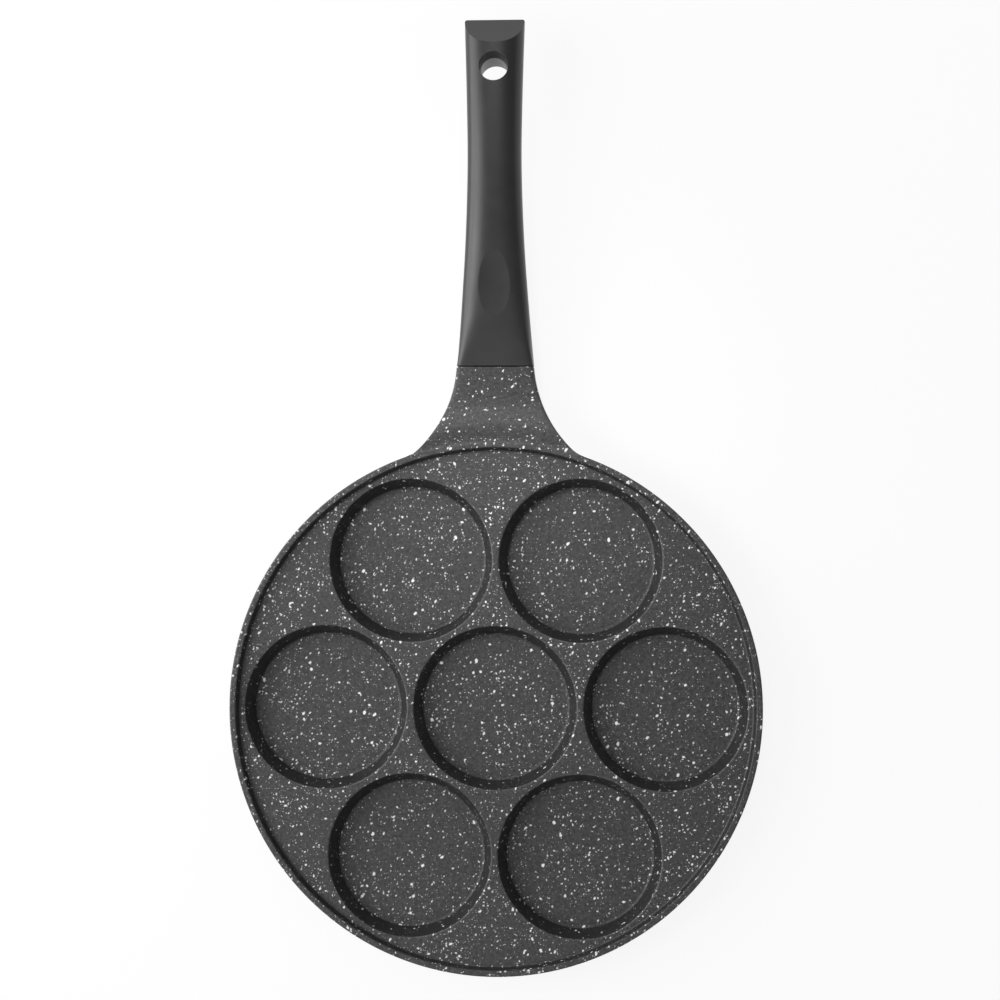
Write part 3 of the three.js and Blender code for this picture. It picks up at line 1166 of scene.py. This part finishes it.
@dataclass(frozen=True)
class TangFixing:
    """The straight tang inside the handle, and the heights of what its screw holds, along the screw."""

    grip: GripShape = GripShape()
    width: float = 20.0
    thickness: float = 7.0
    reach: float = 46.0
    root: float = 12.0
    edge_rounding: float = 0.6
    clearance: float = 0.3
    screw_from_junction: float = 23.0
    screw_radius: float = 2.0
    head_radius: float = 3.9
    head_height: float = 2.7
    socket_floor: float = 2.4
    counterbore_radius: float = 5.0
    flat_washer_thickness: float = 0.8
    spring_washer_thickness: float = 0.9
    hole_steps: int = 48

    @property
    def place(self) -> Matrix:
        """Where the tang and its screw are.

        Returns:
            The place of the tang's middle at the screw, with Z along the screw.
        """
        slope = (self.grip.line(self.reach) - self.grip.line(0)) / self.reach
        height = self.grip.line(0) + slope * self.screw_from_junction
        shift = Vector((0, self.grip.junction + self.screw_from_junction, height))
        return Matrix.Translation(shift) @ Matrix.Rotation(math.atan(slope), 4, "X")

    @property
    def hole_radius(self) -> float:
        """The radius of the hole that the screw passes."""
        return self.screw_radius + self.clearance

    @property
    def counterbore_floor(self) -> float:
        """The height of the ledge that the washers press on."""
        return -(self.thickness / 2 + self.clearance + self.socket_floor)

    @property
    def flat_washer_bottom(self) -> float:
        """The height of the flat washer's lower face."""
        return self.counterbore_floor - self.clearance - self.flat_washer_thickness

    @property
    def spring_washer_bottom(self) -> float:
        """The height of the spring washer's lower face."""
        return self.flat_washer_bottom - self.clearance - self.spring_washer_thickness

    @property
    def head_top(self) -> float:
        """The height of the screw head's bearing face."""
        return self.spring_washer_bottom - self.clearance

    @property
    def head_bottom(self) -> float:
        """The height of the screw head's outer face."""
        return self.head_top - self.head_height

    def block(self, name: str, grown: float = 0) -> Shape:
        """The tang's bar, or the room for it where it is grown.

        Args:
            name: the new object's name.
            grown: how much it is grown on every side.

        Returns:
            The bar, in its place.
        """
        start = -self.screw_from_junction - self.root
        end = self.reach - self.screw_from_junction + grown
        size = (self.width + 2 * grown, end - start, self.thickness + 2 * grown)
        return put(bar(name, size, (0, (start + end) / 2, 0), self.edge_rounding), self.place)

    def hole(self, name: str, radius: float, bottom: float, top: float) -> Shape:
        """A round cutter along the screw from one height to another, in its place."""
        profile = [(0, bottom), (radius, bottom), (radius, top), (0, top)]
        return put(turn(name, profile, self.hole_steps), self.place)


@dataclass(frozen=True)
class DiscPattern:
    """The holes of the base disc, which the casting's studs fill."""

    rings: tuple[tuple[int, float], ...] = ((6, 26.0), (12, 52.0), (24, 82.0))
    hole_radius: float = 3.0

    @property
    def places(self) -> list[Pair]:
        """The middle of every hole."""
        return [place for count, radius in self.rings for place in ring_places(count, radius)]


# The pieces


@dataclass
class CastPan:
    """The casting: wells, rim, neck, tang, and the studs that hold the base disc."""

    levels: Levels = Levels()
    grip: GripShape = GripShape()
    fixing: TangFixing = TangFixing()
    pattern: DiscPattern = DiscPattern()
    rim_head_radius: float = 130.4
    wall_foot_radius: float = 121.4
    base_rounding: float = 6.0
    rim_rounding: float = 0.8
    lip_inner_radius: float = 127.0
    lip_foot_radius: float = 125.7
    foot_rounding: float = 1.0
    recess_radius: float = 100.3
    collar: float = 0.25
    well_ring_radius: float = 83.1
    wells_in_ring: int = 6
    well_mouth_radius: float = 40.0
    well_floor_radius: float = 36.0
    well_edge_rounding: float = 1.0
    well_floor_rounding: float = 1.8
    stud_clearance: float = 0.3
    stud_end: float = 0.1
    stud_rounding: float = 0.25
    rim_radius: float = 130.0
    waist_width: float = 37.1
    waist_past_junction: float = 5.1
    flare_radius: float = 62.8
    fillet_radius: float = 16.0
    neck_slope_length: float = 12.0
    neck_turn_length: float = 9.0
    neck_crest_slope: float = 0.06
    neck_crown_at_rim: float = 0.6
    neck_top_power_at_rim: float = 14.0
    neck_belly_power_at_rim: float = 1.6
    neck_bottom_at_rim: float = 7.5
    crease_radius: float = 131.2
    dish_radius: float = 139.0
    dish_slope: float = 0.34
    dish_easing: float = 5.0
    neck_bite: float = 1.4
    seam_rounding: float = 0.12
    seam_steps: int = 4
    body_steps: int = 256
    well_steps: int = 128
    stud_steps: int = 24
    neck_rings: int = 44
    ring_points: int = 112

    def build(self) -> Shape:
        """Models the casting.

        Returns:
            The casting, in millimetres.
        """
        shell = join_meshes([self.outside(), self.wells(), self.studs()])
        shell.name = "cast_pan"
        fill_level(shell, self.levels.deck)
        fill_level(shell, self.levels.disc_thickness)
        close_mesh()
        combine(shell, self.neck(), Meeting.JOIN)
        return shell

    def dress(self, shape: Shape) -> None:
        """Coats the casting and ties it to the frame."""
        settle(shape, StoneCoating().material(), Node.PAN, Slot.STONE)

    def outside(self) -> Shape:
        """Turns the lip, the outer wall and the underside up to the disc's recess.

        Returns:
            An open skin.
        """
        levels = self.levels
        corners = [
            (self.lip_foot_radius - self.foot_rounding - self.collar, levels.deck, 0),
            (self.lip_foot_radius, levels.deck, self.foot_rounding),
            (self.lip_inner_radius, levels.rim, self.rim_rounding),
            (self.rim_head_radius, levels.rim, self.rim_rounding),
            (self.wall_foot_radius, levels.base, self.base_rounding),
            (self.recess_radius, levels.base, self.stud_rounding),
            (self.recess_radius, levels.disc_thickness, 0),
        ]
        return turn("outside", rounded(corners), self.body_steps)

    def wells(self) -> Shape:
        """Models the seven wells, each with a narrow flat collar on the deck.

        Returns:
            The wells, as open skins in one object.
        """
        levels = self.levels
        corners = [
            (0, levels.floor, 0),
            (self.well_floor_radius, levels.floor, self.well_floor_rounding),
            (self.well_mouth_radius, levels.deck, self.well_edge_rounding),
            (self.well_mouth_radius + self.well_edge_rounding, levels.deck, 0),
        ]
        well = turn("wells", rounded(corners), self.well_steps)
        copy_to(well, [(0.0, 0.0), *ring_places(self.wells_in_ring, self.well_ring_radius)])
        return well

    def studs(self) -> Shape:
        """Models the studs under the casting, which end just short of the disc's face.

        Returns:
            The studs, as open cups in one object.
        """
        radius = self.pattern.hole_radius - self.stud_clearance
        corners = [
            (radius, self.levels.disc_thickness, 0),
            (radius, self.stud_end, self.stud_rounding),
            (0, self.stud_end, 0),
        ]
        stud = turn("studs", rounded(corners), self.stud_steps)
        copy_to(stud, self.pattern.places)
        return stud

    @property
    def flare(self) -> Vector:
        """The centre of the wide arc on the neck's right side."""
        across = self.waist_width / 2 + self.flare_radius
        return Vector((across, self.grip.junction + self.waist_past_junction))

    @property
    def fillet(self) -> Vector:
        """The small arc that leads from the wide one into the rim's circle.

        Returns:
            The arc's centre.
        """
        from_rim = self.rim_radius + self.fillet_radius
        from_flare = self.flare_radius - self.fillet_radius
        reach = self.flare.length
        along = (reach**2 + from_rim**2 - from_flare**2) / (2 * reach)
        aside = math.sqrt(from_rim**2 - along**2)
        ahead = self.flare.normalized()
        return ahead * along + Vector((-ahead.y, ahead.x)) * aside

    @property
    def neck_length(self) -> float:
        """From the junction to where the neck's sides touch the rim's circle."""
        return self.grip.junction - self.fillet.y * self.rim_radius / (self.rim_radius + self.fillet_radius)

    def neck_half_width(self, y: float) -> float:
        """Half the neck's width: on the wide arc, and then on the small one.

        Args:
            y: the place along Y.

        Returns:
            How far the neck's side is from the middle.
        """
        flare, fillet = self.flare, self.fillet
        share = self.flare_radius / (self.flare_radius - self.fillet_radius)
        on_flare = y > mix(flare.y, fillet.y, share)
        centre, radius = (flare, self.flare_radius) if on_flare else (fillet, self.fillet_radius)
        return centre.x - math.sqrt(radius**2 - (centre.y - y) ** 2)

    def neck_top(self, distance: float) -> float:
        """The height of the neck's top: down the handle's slope and up to a crest.

        Args:
            distance: millimetres from the junction towards the rim.

        Returns:
            The height, before the dish is taken off.
        """
        slope = self.grip.start_slope
        turned = eased_run(distance - self.neck_slope_length, self.neck_turn_length)
        return self.grip.top(0) - slope * distance + (slope + self.neck_crest_slope) * turned

    def dish(self, radius: float) -> float:
        """How far the neck's top falls at a radius from the pan's centre, from its crest to a crease."""
        past = self.dish_radius - max(radius, self.crease_radius)
        return self.dish_slope * eased_run(past, self.dish_easing)

    def neck_ring(self, distance: float, inset: float = 0) -> list[Vector]:
        """The neck's outline at a distance before the junction.

        Args:
            distance: millimetres from the junction towards the rim.
            inset: how far the outline is drawn in.

        Returns:
            The ring's points.
        """
        start = self.grip.section(0)
        y = self.grip.junction - distance
        share = distance / self.neck_length
        half_width = self.neck_half_width(y)
        edge_dish = self.dish(math.hypot(half_width, y))
        crown = mix(start.crown, self.neck_crown_at_rim, share)
        line = self.neck_top(distance) - edge_dish - crown
        bottom = mix(self.grip.line(0) - start.belly, self.neck_bottom_at_rim, share)
        section = Section(
            half_width=half_width,
            crown=crown,
            belly=line - bottom,
            top_power=mix(start.top_power, self.neck_top_power_at_rim, share),
            belly_power=mix(start.belly_power, self.neck_belly_power_at_rim, share),
            camber=mix(start.camber, 0, share),
        )
        ring = section.ring(y, line, self.ring_points, inset)
        for point in ring:
            if point.z > line:
                point.z += edge_dish - self.dish(point.xy.length)
        return ring

    def neck(self) -> Shape:
        """The neck with its tang, cut to end inside the lip.

        Returns:
            A closed solid that reaches a little into the outer wall.
        """
        run = self.neck_length
        distances = [mix(run, self.seam_rounding, i / self.neck_rings) for i in range(self.neck_rings + 1)]
        rings = [self.neck_ring(distance) for distance in distances]
        rings += [self.neck_ring(*step) for step in rounded_end(self.seam_rounding, self.seam_steps)]
        neck = loft("neck", rings)
        combine(neck, self.wall_core(), Meeting.CUT)
        combine(neck, self.fixing.block("tang"), Meeting.JOIN)
        depth = self.fixing.thickness
        combine(neck, self.fixing.hole("screw_hole", self.fixing.hole_radius, -depth, depth), Meeting.CUT)
        return neck

    def wall_core(self) -> Shape:
        """A cone inside the outer wall and parallel to it, where the neck ends.

        Returns:
            The cone, as a closed cutter.
        """
        lean = (self.rim_head_radius - self.wall_foot_radius) / (self.levels.rim - self.levels.base)
        bottom, top = -self.levels.rim, 2 * self.levels.rim

        def wall(height: float) -> float:
            """The cone's radius at a height."""
            return self.wall_foot_radius - self.neck_bite + lean * (height - self.levels.base)

        profile = [(0, bottom), (wall(bottom), bottom), (wall(top), top), (0, top)]
        return turn("wall_core", profile, self.body_steps)


@dataclass
class BaseDisc:
    """The thin steel disc in the underside, with a hole for each stud."""

    levels: Levels = Levels()
    pattern: DiscPattern = DiscPattern()
    radius: float = 100.0
    edge_rounding: float = 0.12
    seat_gap: float = 0.02
    rim_steps: int = 256
    hole_steps: int = 32
    edge_steps: int = 2
    sharp_angle: float = math.radians(60)

    def build(self) -> Shape:
        """Models the disc: one circle and its holes, filled, drawn up and rounded at the edges.

        Returns:
            The disc, in millimetres.
        """
        clear_selection()
        bpy.ops.mesh.primitive_circle_add(vertices=self.rim_steps, radius=self.radius)
        disc = bpy.context.active_object
        disc.name = "perforated_disc"
        open_mesh(disc)
        for x, y in self.pattern.places:
            bpy.ops.mesh.primitive_circle_add(
                vertices=self.hole_steps,
                radius=self.pattern.hole_radius,
                location=(x, y, 0),
            )
        bpy.ops.mesh.select_all(action="SELECT")
        bpy.ops.mesh.fill(use_beauty=True)
        bpy.ops.mesh.select_all(action="SELECT")
        thickness = self.levels.disc_thickness - self.seat_gap
        bpy.ops.mesh.extrude_region_move(TRANSFORM_OT_translate={"value": (0, 0, thickness)})
        bpy.ops.mesh.select_all(action="SELECT")
        bpy.ops.mesh.normals_make_consistent(inside=False)
        select_edges(disc, lambda edge: edge.is_manifold and edge.calc_face_angle() > self.sharp_angle)
        bpy.ops.mesh.bevel(offset=self.edge_rounding, segments=self.edge_steps, affect="EDGES")
        close_mesh()
        return disc

    def dress(self, shape: Shape) -> None:
        """Brushes the disc and ties it to the frame."""
        settle(shape, BrushedSteel().material(), Node.DISC, Slot.STEEL)


@dataclass
class MouldedHandle:
    """The phenolic handle with its thumb scoop, hang hole, end facet, socket and screw recess."""

    grip: GripShape = GripShape()
    fixing: TangFixing = TangFixing()
    seam_gap: float = 0.5
    seam_rounding: float = 0.35
    end_rounding: float = 1.2
    facet_length: float = 12.4
    facet_angle: float = math.radians(37)
    scoop_from_junction: float = 37.3
    scoop_radii: tuple[float, float, float] = (21.5, 33.5, 4.0)
    scoop_depth: float = 0.58
    hang_hole_from_junction: float = 141.4
    hang_hole_top: float = 7.2
    hang_hole_waist: float = 6.1
    hang_hole_waist_depth: float = 5.3
    hang_hole_bottom: float = 7.6
    hang_hole_lean: float = math.radians(12.5)
    hang_hole_rounding: float = 1.0
    overshoot: float = 20.0
    rings: int = 110
    ring_points: int = 112
    edge_steps: int = 5
    scoop_steps: int = 160
    hang_hole_steps: int = 96

    def build(self) -> Shape:
        """Models the handle.

        Returns:
            The handle, in millimetres.
        """
        handle = self.blank()
        self.cut_facet(handle)
        fixing = self.fixing
        for cutter in (
            self.scoop(),
            self.hang_hole(),
            fixing.block("socket", fixing.clearance),
            fixing.hole("recess", fixing.counterbore_radius, -self.overshoot, fixing.counterbore_floor),
            fixing.hole("screw_way", fixing.hole_radius, -self.overshoot, 0),
        ):
            combine(handle, cutter, Meeting.CUT)
        return handle

    def dress(self, shape: Shape) -> None:
        """Gives the handle its satin finish and ties it to the frame."""
        settle(shape, SatinPhenolic().material(), Node.HANDLE, Slot.PHENOLIC)

    def ring(self, distance: float, inset: float) -> list[Vector]:
        """The handle's outline at one place.

        Args:
            distance: millimetres from the junction.
            inset: how far the outline is drawn in.

        Returns:
            The ring's points.
        """
        section = self.grip.section(distance)
        y = self.grip.junction + distance
        return section.ring(y, self.grip.line(distance), self.ring_points, inset)

    def blank(self) -> Shape:
        """Models the handle before anything is cut, with both of its end edges rounded.

        Returns:
            The closed blank.
        """
        first, last = self.seam_gap, self.grip.length
        seam = reversed(rounded_end(self.seam_rounding, self.edge_steps))
        rings = [self.ring(first + past, drawn_in) for past, drawn_in in seam]
        for i in range(self.rings + 1):
            distance = mix(first + self.seam_rounding, last - self.end_rounding, i / self.rings)
            rings.append(self.ring(distance, 0))
        end = rounded_end(self.end_rounding, self.edge_steps)
        rings += [self.ring(last - before, drawn_in) for before, drawn_in in end]
        return loft("moulded_handle", rings)

    def cut_facet(self, handle: Shape) -> None:
        """Cuts the flat facet across the top of the handle's end.

        Args:
            handle: the handle's blank.
        """
        start = self.grip.length - self.facet_length
        open_mesh(handle)
        bpy.ops.mesh.bisect(
            plane_co=(0, self.grip.junction + start, self.grip.top(start)),
            plane_no=(0, math.sin(self.facet_angle), math.cos(self.facet_angle)),
            use_fill=True,
            clear_outer=True,
        )
        close_mesh()

    def scoop(self) -> Shape:
        """Models what cuts the thumb scoop: a large flat ellipsoid.

        Returns:
            The cutter, in its place.
        """
        clear_selection()
        steps = self.scoop_steps
        bpy.ops.mesh.primitive_uv_sphere_add(segments=steps, ring_count=steps // 2, radius=1)
        ball = bpy.context.active_object
        distance = self.scoop_from_junction
        height = self.grip.top(distance) + self.scoop_radii[2] - self.scoop_depth
        shift = Matrix.Translation((0, self.grip.junction + distance, height))
        tilt = Matrix.Rotation(math.atan(self.grip.slope(distance)), 4, "X")
        return put(ball, shift @ tilt @ Matrix.Diagonal((*self.scoop_radii, 1)))

    def hang_hole(self) -> Shape:
        """Models what cuts the hang hole: a short cone from above, a waist, and a long cone from below.

        Returns:
            The cutter, in its place.
        """
        distance = self.hang_hole_from_junction
        section = self.grip.section(distance)
        half = (section.crown + section.belly) / 2
        corners = [
            (0, -self.overshoot, 0),
            (self.hang_hole_bottom, -self.overshoot, 0),
            (self.hang_hole_bottom, -half, 0),
            (self.hang_hole_waist, half - self.hang_hole_waist_depth, self.hang_hole_rounding),
            (self.hang_hole_top, half, 0),
            (self.hang_hole_top, self.overshoot, 0),
            (0, self.overshoot, 0),
        ]
        cutter = turn("hang_hole", rounded(corners), self.hang_hole_steps)
        shift = Matrix.Translation((0, self.grip.junction + distance, self.grip.top(distance) - half))
        return put(cutter, shift @ Matrix.Rotation(-self.hang_hole_lean, 4, "X"))


@dataclass
class Fasteners:
    """The screw that holds the handle, with its split washer and its flat washer."""

    fixing: TangFixing = TangFixing()
    edge_rounding: float = 0.12
    head_rounding: float = 1.1
    brow_share: float = 0.4
    crown_radius: float = 2.4
    tip_chamfer: float = 0.5
    recess_length: float = 4.0
    recess_width: float = 0.9
    recess_depth: float = 1.5
    recess_rounding: float = 0.15
    flat_washer_radius: float = 4.5
    spring_washer_radius: float = 3.7
    spring_washer_gap: float = math.radians(24)
    steps: int = 64
    zinc: Material = field(default_factory=lambda: ZincPlate().material())

    def build(self) -> list[tuple[Shape, Node]]:
        """Models the screw and its washers.

        Returns:
            Each piece, in millimetres, with the solid that it stands for.
        """
        return [
            (self.screw(), Node.SCREW),
            (self.spring_washer(), Node.SPRING_WASHER),
            (self.flat_washer(), Node.FLAT_WASHER),
        ]

    def dress(self, pieces: Iterable[tuple[Shape, Node]]) -> None:
        """Plates the pieces and ties them to the frame."""
        for shape, node in pieces:
            settle(shape, self.zinc, node, Slot.ZINC)

    def screw(self) -> Shape:
        """Models the pan-head screw, head down, with a cross recess.

        Returns:
            The screw, in its place.
        """
        fixing = self.fixing
        bottom, top, tip = fixing.head_bottom, fixing.head_top, fixing.thickness / 2
        radius = fixing.screw_radius
        corners = [
            (0, bottom, 0),
            (self.crown_radius, bottom, self.edge_rounding),
            (fixing.head_radius, mix(bottom, top, self.brow_share), self.head_rounding),
            (fixing.head_radius, top, self.edge_rounding),
            (radius, top, 0),
            (radius, tip - self.tip_chamfer, 0),
            (radius - self.tip_chamfer, tip, 0),
            (0, tip, 0),
        ]
        screw = turn("pan_head_screw", rounded(corners), self.steps)
        size = (self.recess_length, self.recess_width, 2 * self.recess_depth)
        for turned in (size, (size[1], size[0], size[2])):
            slot = bar("slot", turned, (0, 0, bottom), self.recess_rounding)
            combine(screw, slot, Meeting.CUT)
        return put(screw, fixing.place)

    def washer(self, name: str, outer: float, bottom: float, thickness: float, gap: float = 0) -> Shape:
        """A washer along Z.

        Args:
            name: the new object's name.
            outer: its outer radius.
            bottom: the height of its lower face.
            thickness: how thick it is.
            gap: the angle that is left open in it.

        Returns:
            The washer, in object mode, with its metal open at the gap.
        """
        inner, top = self.fixing.hole_radius, bottom + thickness
        middle = (inner + outer) / 2
        edges = ((outer, bottom), (outer, top), (inner, top), (inner, bottom))
        round_edges = [(*edge, self.edge_rounding) for edge in edges]
        corners = [(middle, bottom, 0), *round_edges, (middle, bottom, 0)]
        return turn(name, rounded(corners), self.steps, math.tau - gap)

    def flat_washer(self) -> Shape:
        """Models the plain washer on the floor of the handle's screw recess.

        Returns:
            The washer, in its place.
        """
        fixing = self.fixing
        bottom, thickness = fixing.flat_washer_bottom, fixing.flat_washer_thickness
        return put(self.washer("plain_washer", self.flat_washer_radius, bottom, thickness), fixing.place)

    def spring_washer(self) -> Shape:
        """Models the split washer under the screw's head, closed at both ends of its gap.

        Returns:
            The washer, in its place.
        """
        fixing = self.fixing
        washer = self.washer(
            "split_washer",
            self.spring_washer_radius,
            fixing.spring_washer_bottom,
            fixing.spring_washer_thickness,
            self.spring_washer_gap,
        )
        open_mesh(washer)
        select_edges(washer, lambda edge: edge.is_boundary)
        bpy.ops.mesh.edge_face_add()
        close_mesh()
        return put(washer, fixing.place)


# The studio


@dataclass(frozen=True)
class Lamp:
    """A light of the studio. Sizes are in metres.

    Attributes:
        name: what it is called.
        place: where its middle is.
        aim: the point that it faces.
        power: its strength in watts.
    """

    KIND = "POINT"

    name: str
    place: Corner
    aim: Corner
    power: float

    def hang(self) -> None:
        """Puts the light up and turns it to its aim."""
        clear_selection()
        bpy.ops.object.light_add(type=self.KIND, location=self.place)
        lamp = bpy.context.active_object
        lamp.name = self.name
        lamp.data.energy = self.power
        lamp.rotation_euler = (Vector(self.aim) - Vector(self.place)).to_track_quat("-Z", "Y").to_euler()
        self.soften(lamp.data)

    def soften(self, light: bpy.types.Light) -> None:
        """Sets what this kind of light has of its own."""


@dataclass(frozen=True)
class Softbox(Lamp):
    """A rectangular soft light.

    Attributes:
        size: its width and height.
    """

    KIND = "AREA"

    size: Pair

    def soften(self, light: bpy.types.Light) -> None:
        """Gives the light its size."""
        light.shape = "RECTANGLE"
        light.size, light.size_y = self.size


@dataclass(frozen=True)
class Spot(Lamp):
    """A soft-edged spotlight.

    Attributes:
        beam: the angle of its beam.
        radius: the size of its lens, which softens its shadows.
    """

    KIND = "SPOT"

    beam: float
    radius: float

    def soften(self, light: bpy.types.Light) -> None:
        """Gives the light its beam and its soft edge.

        Args:
            light: the light's own settings.
        """
        light.spot_size = self.beam
        light.spot_blend = 1.0
        light.shadow_soft_size = self.radius


@dataclass
class Studio:
    """A white sweep, soft light mostly from the left, and the camera above. Sizes are in metres."""

    MIDDLE = (0, 0.1, 0.02)
    NECK = (0, 0.145, 0.02)
    HANDLE = (0, 0.22, 0.1)

    floor_drop: float = 0.0004
    floor_radius: float = 4.0
    wall_height: float = 1.2
    sweep_rounding: float = 1.0
    sweep_steps: int = 96
    sweep_paint_level: float = 0.9
    sweep_roughness: float = 0.9
    sweep_glow: float = 0.88
    ambient: float = 0.245
    lights: tuple[Lamp, ...] = (
        Softbox("left_softbox", place=(-1.0, 0, 1.2), aim=MIDDLE, size=(0.7, 0.7), power=8.6),
        Softbox("low_left_softbox", place=(-0.6, 0.25, 0.28), aim=HANDLE, size=(0.6, 0.5), power=3.5),
        Softbox("front_softbox", place=(-0.1, -0.8, 1.4), aim=MIDDLE, size=(0.9, 0.7), power=4.0),
        Softbox("back_softbox", place=(0, 0.8, 1.4), aim=MIDDLE, size=(0.6, 0.8), power=2.7),
        Softbox("low_back_softbox", place=(0, 1.0, 0.3), aim=MIDDLE, size=(0.6, 0.3), power=1.2),
        Spot("neck_spot", place=(-0.15, 0.75, 1.3), aim=NECK, beam=0.17, radius=0.1, power=46.0),
    )
    camera_place: Corner = (0.0878, 0.0783, 1.2292)
    camera_aim: Corner = (0.0025, 0.1014, 0.0213)
    camera_roll: float = math.radians(0.2)
    lens: float = 89.64
    sensor: float = 36.0

    def build(self) -> None:
        """Sets up the sweep, the light and the camera."""
        self.sweep()
        self.light()
        self.camera()
        bpy.context.scene.view_settings.view_transform = "Standard"

    def sweep(self) -> None:
        """The pale floor, which rises to a low wall all round, far from the pan."""
        corners = [
            (0, -self.floor_drop, 0),
            (self.floor_radius, -self.floor_drop, self.sweep_rounding),
            (self.floor_radius, self.wall_height, 0),
        ]
        floor = turn("white_sweep", rounded(corners), self.sweep_steps)
        floor.data.materials.append(self.sweep_paint())
        pick(floor)
        bpy.ops.object.shade_smooth()
        floor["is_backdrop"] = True

    def sweep_paint(self) -> Material:
        """Paint that looks white to the eye and in reflections, and still takes the pan's shadow.

        Returns:
            The material.
        """
        graph = Graph("white_paint")
        graph.surface(Base_Color=grey(self.sweep_paint_level), Roughness=self.sweep_roughness)
        glow = graph.node("ShaderNodeEmission")
        glow.inputs["Color"].default_value = grey(1.0)
        path = graph.node("ShaderNodeLightPath").outputs
        seen = graph.math("MAXIMUM", path["Is Camera Ray"], path["Is Glossy Ray"])
        seen = graph.math("MAXIMUM", seen, path["Is Transmission Ray"])
        shown = graph.node("ShaderNodeMixShader")
        graph.feed(shown.inputs["Fac"], graph.math("MULTIPLY", seen, self.sweep_glow))
        graph.feed(shown.inputs[1], graph.shader.outputs[0])
        graph.feed(shown.inputs[2], glow.outputs[0])
        output = graph.tree.nodes["Material Output"]
        graph.feed(output.inputs["Surface"], shown.outputs[0])
        return graph.material

    def light(self) -> None:
        """The lights and a dim even surround."""
        for lamp in self.lights:
            lamp.hang()
        world = bpy.context.scene.world or bpy.data.worlds.new("surround")
        bpy.context.scene.world = world
        world.use_nodes = True
        surround = world.node_tree.nodes["Background"]
        surround.inputs["Color"].default_value = grey(1.0)
        surround.inputs["Strength"].default_value = self.ambient

    def camera(self) -> None:
        """The camera above the pan, with the handle's direction up in the picture."""
        clear_selection()
        bpy.ops.object.camera_add(location=self.camera_place)
        camera = bpy.context.active_object
        forward = (Vector(self.camera_aim) - Vector(self.camera_place)).normalized()
        right = forward.cross(Vector((0, 1, 0))).normalized()
        level = Matrix((right, right.cross(forward), -forward)).transposed()
        camera.rotation_euler = (level @ Matrix.Rotation(self.camera_roll, 3, "Z")).to_euler()
        camera.data.sensor_width = self.sensor
        camera.data.lens = self.lens
        bpy.context.scene.camera = camera


def write_sizes() -> None:
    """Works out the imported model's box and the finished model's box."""
    boxes = {"cad": CAD_BOX, "visual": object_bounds()}
    {name: [list(corner) for corner in box] for name, box in boxes.items()}


def main() -> None:
    """Builds the studio and every piece of the pan, in order."""
    logging.basicConfig(level=logging.INFO, format="%(message)s")
    Studio().build()
    for maker in (CastPan(), BaseDisc(), MouldedHandle(), Fasteners()):
        maker.dress(maker.build())
    write_sizes()


if __name__ == "__main__":
    main()
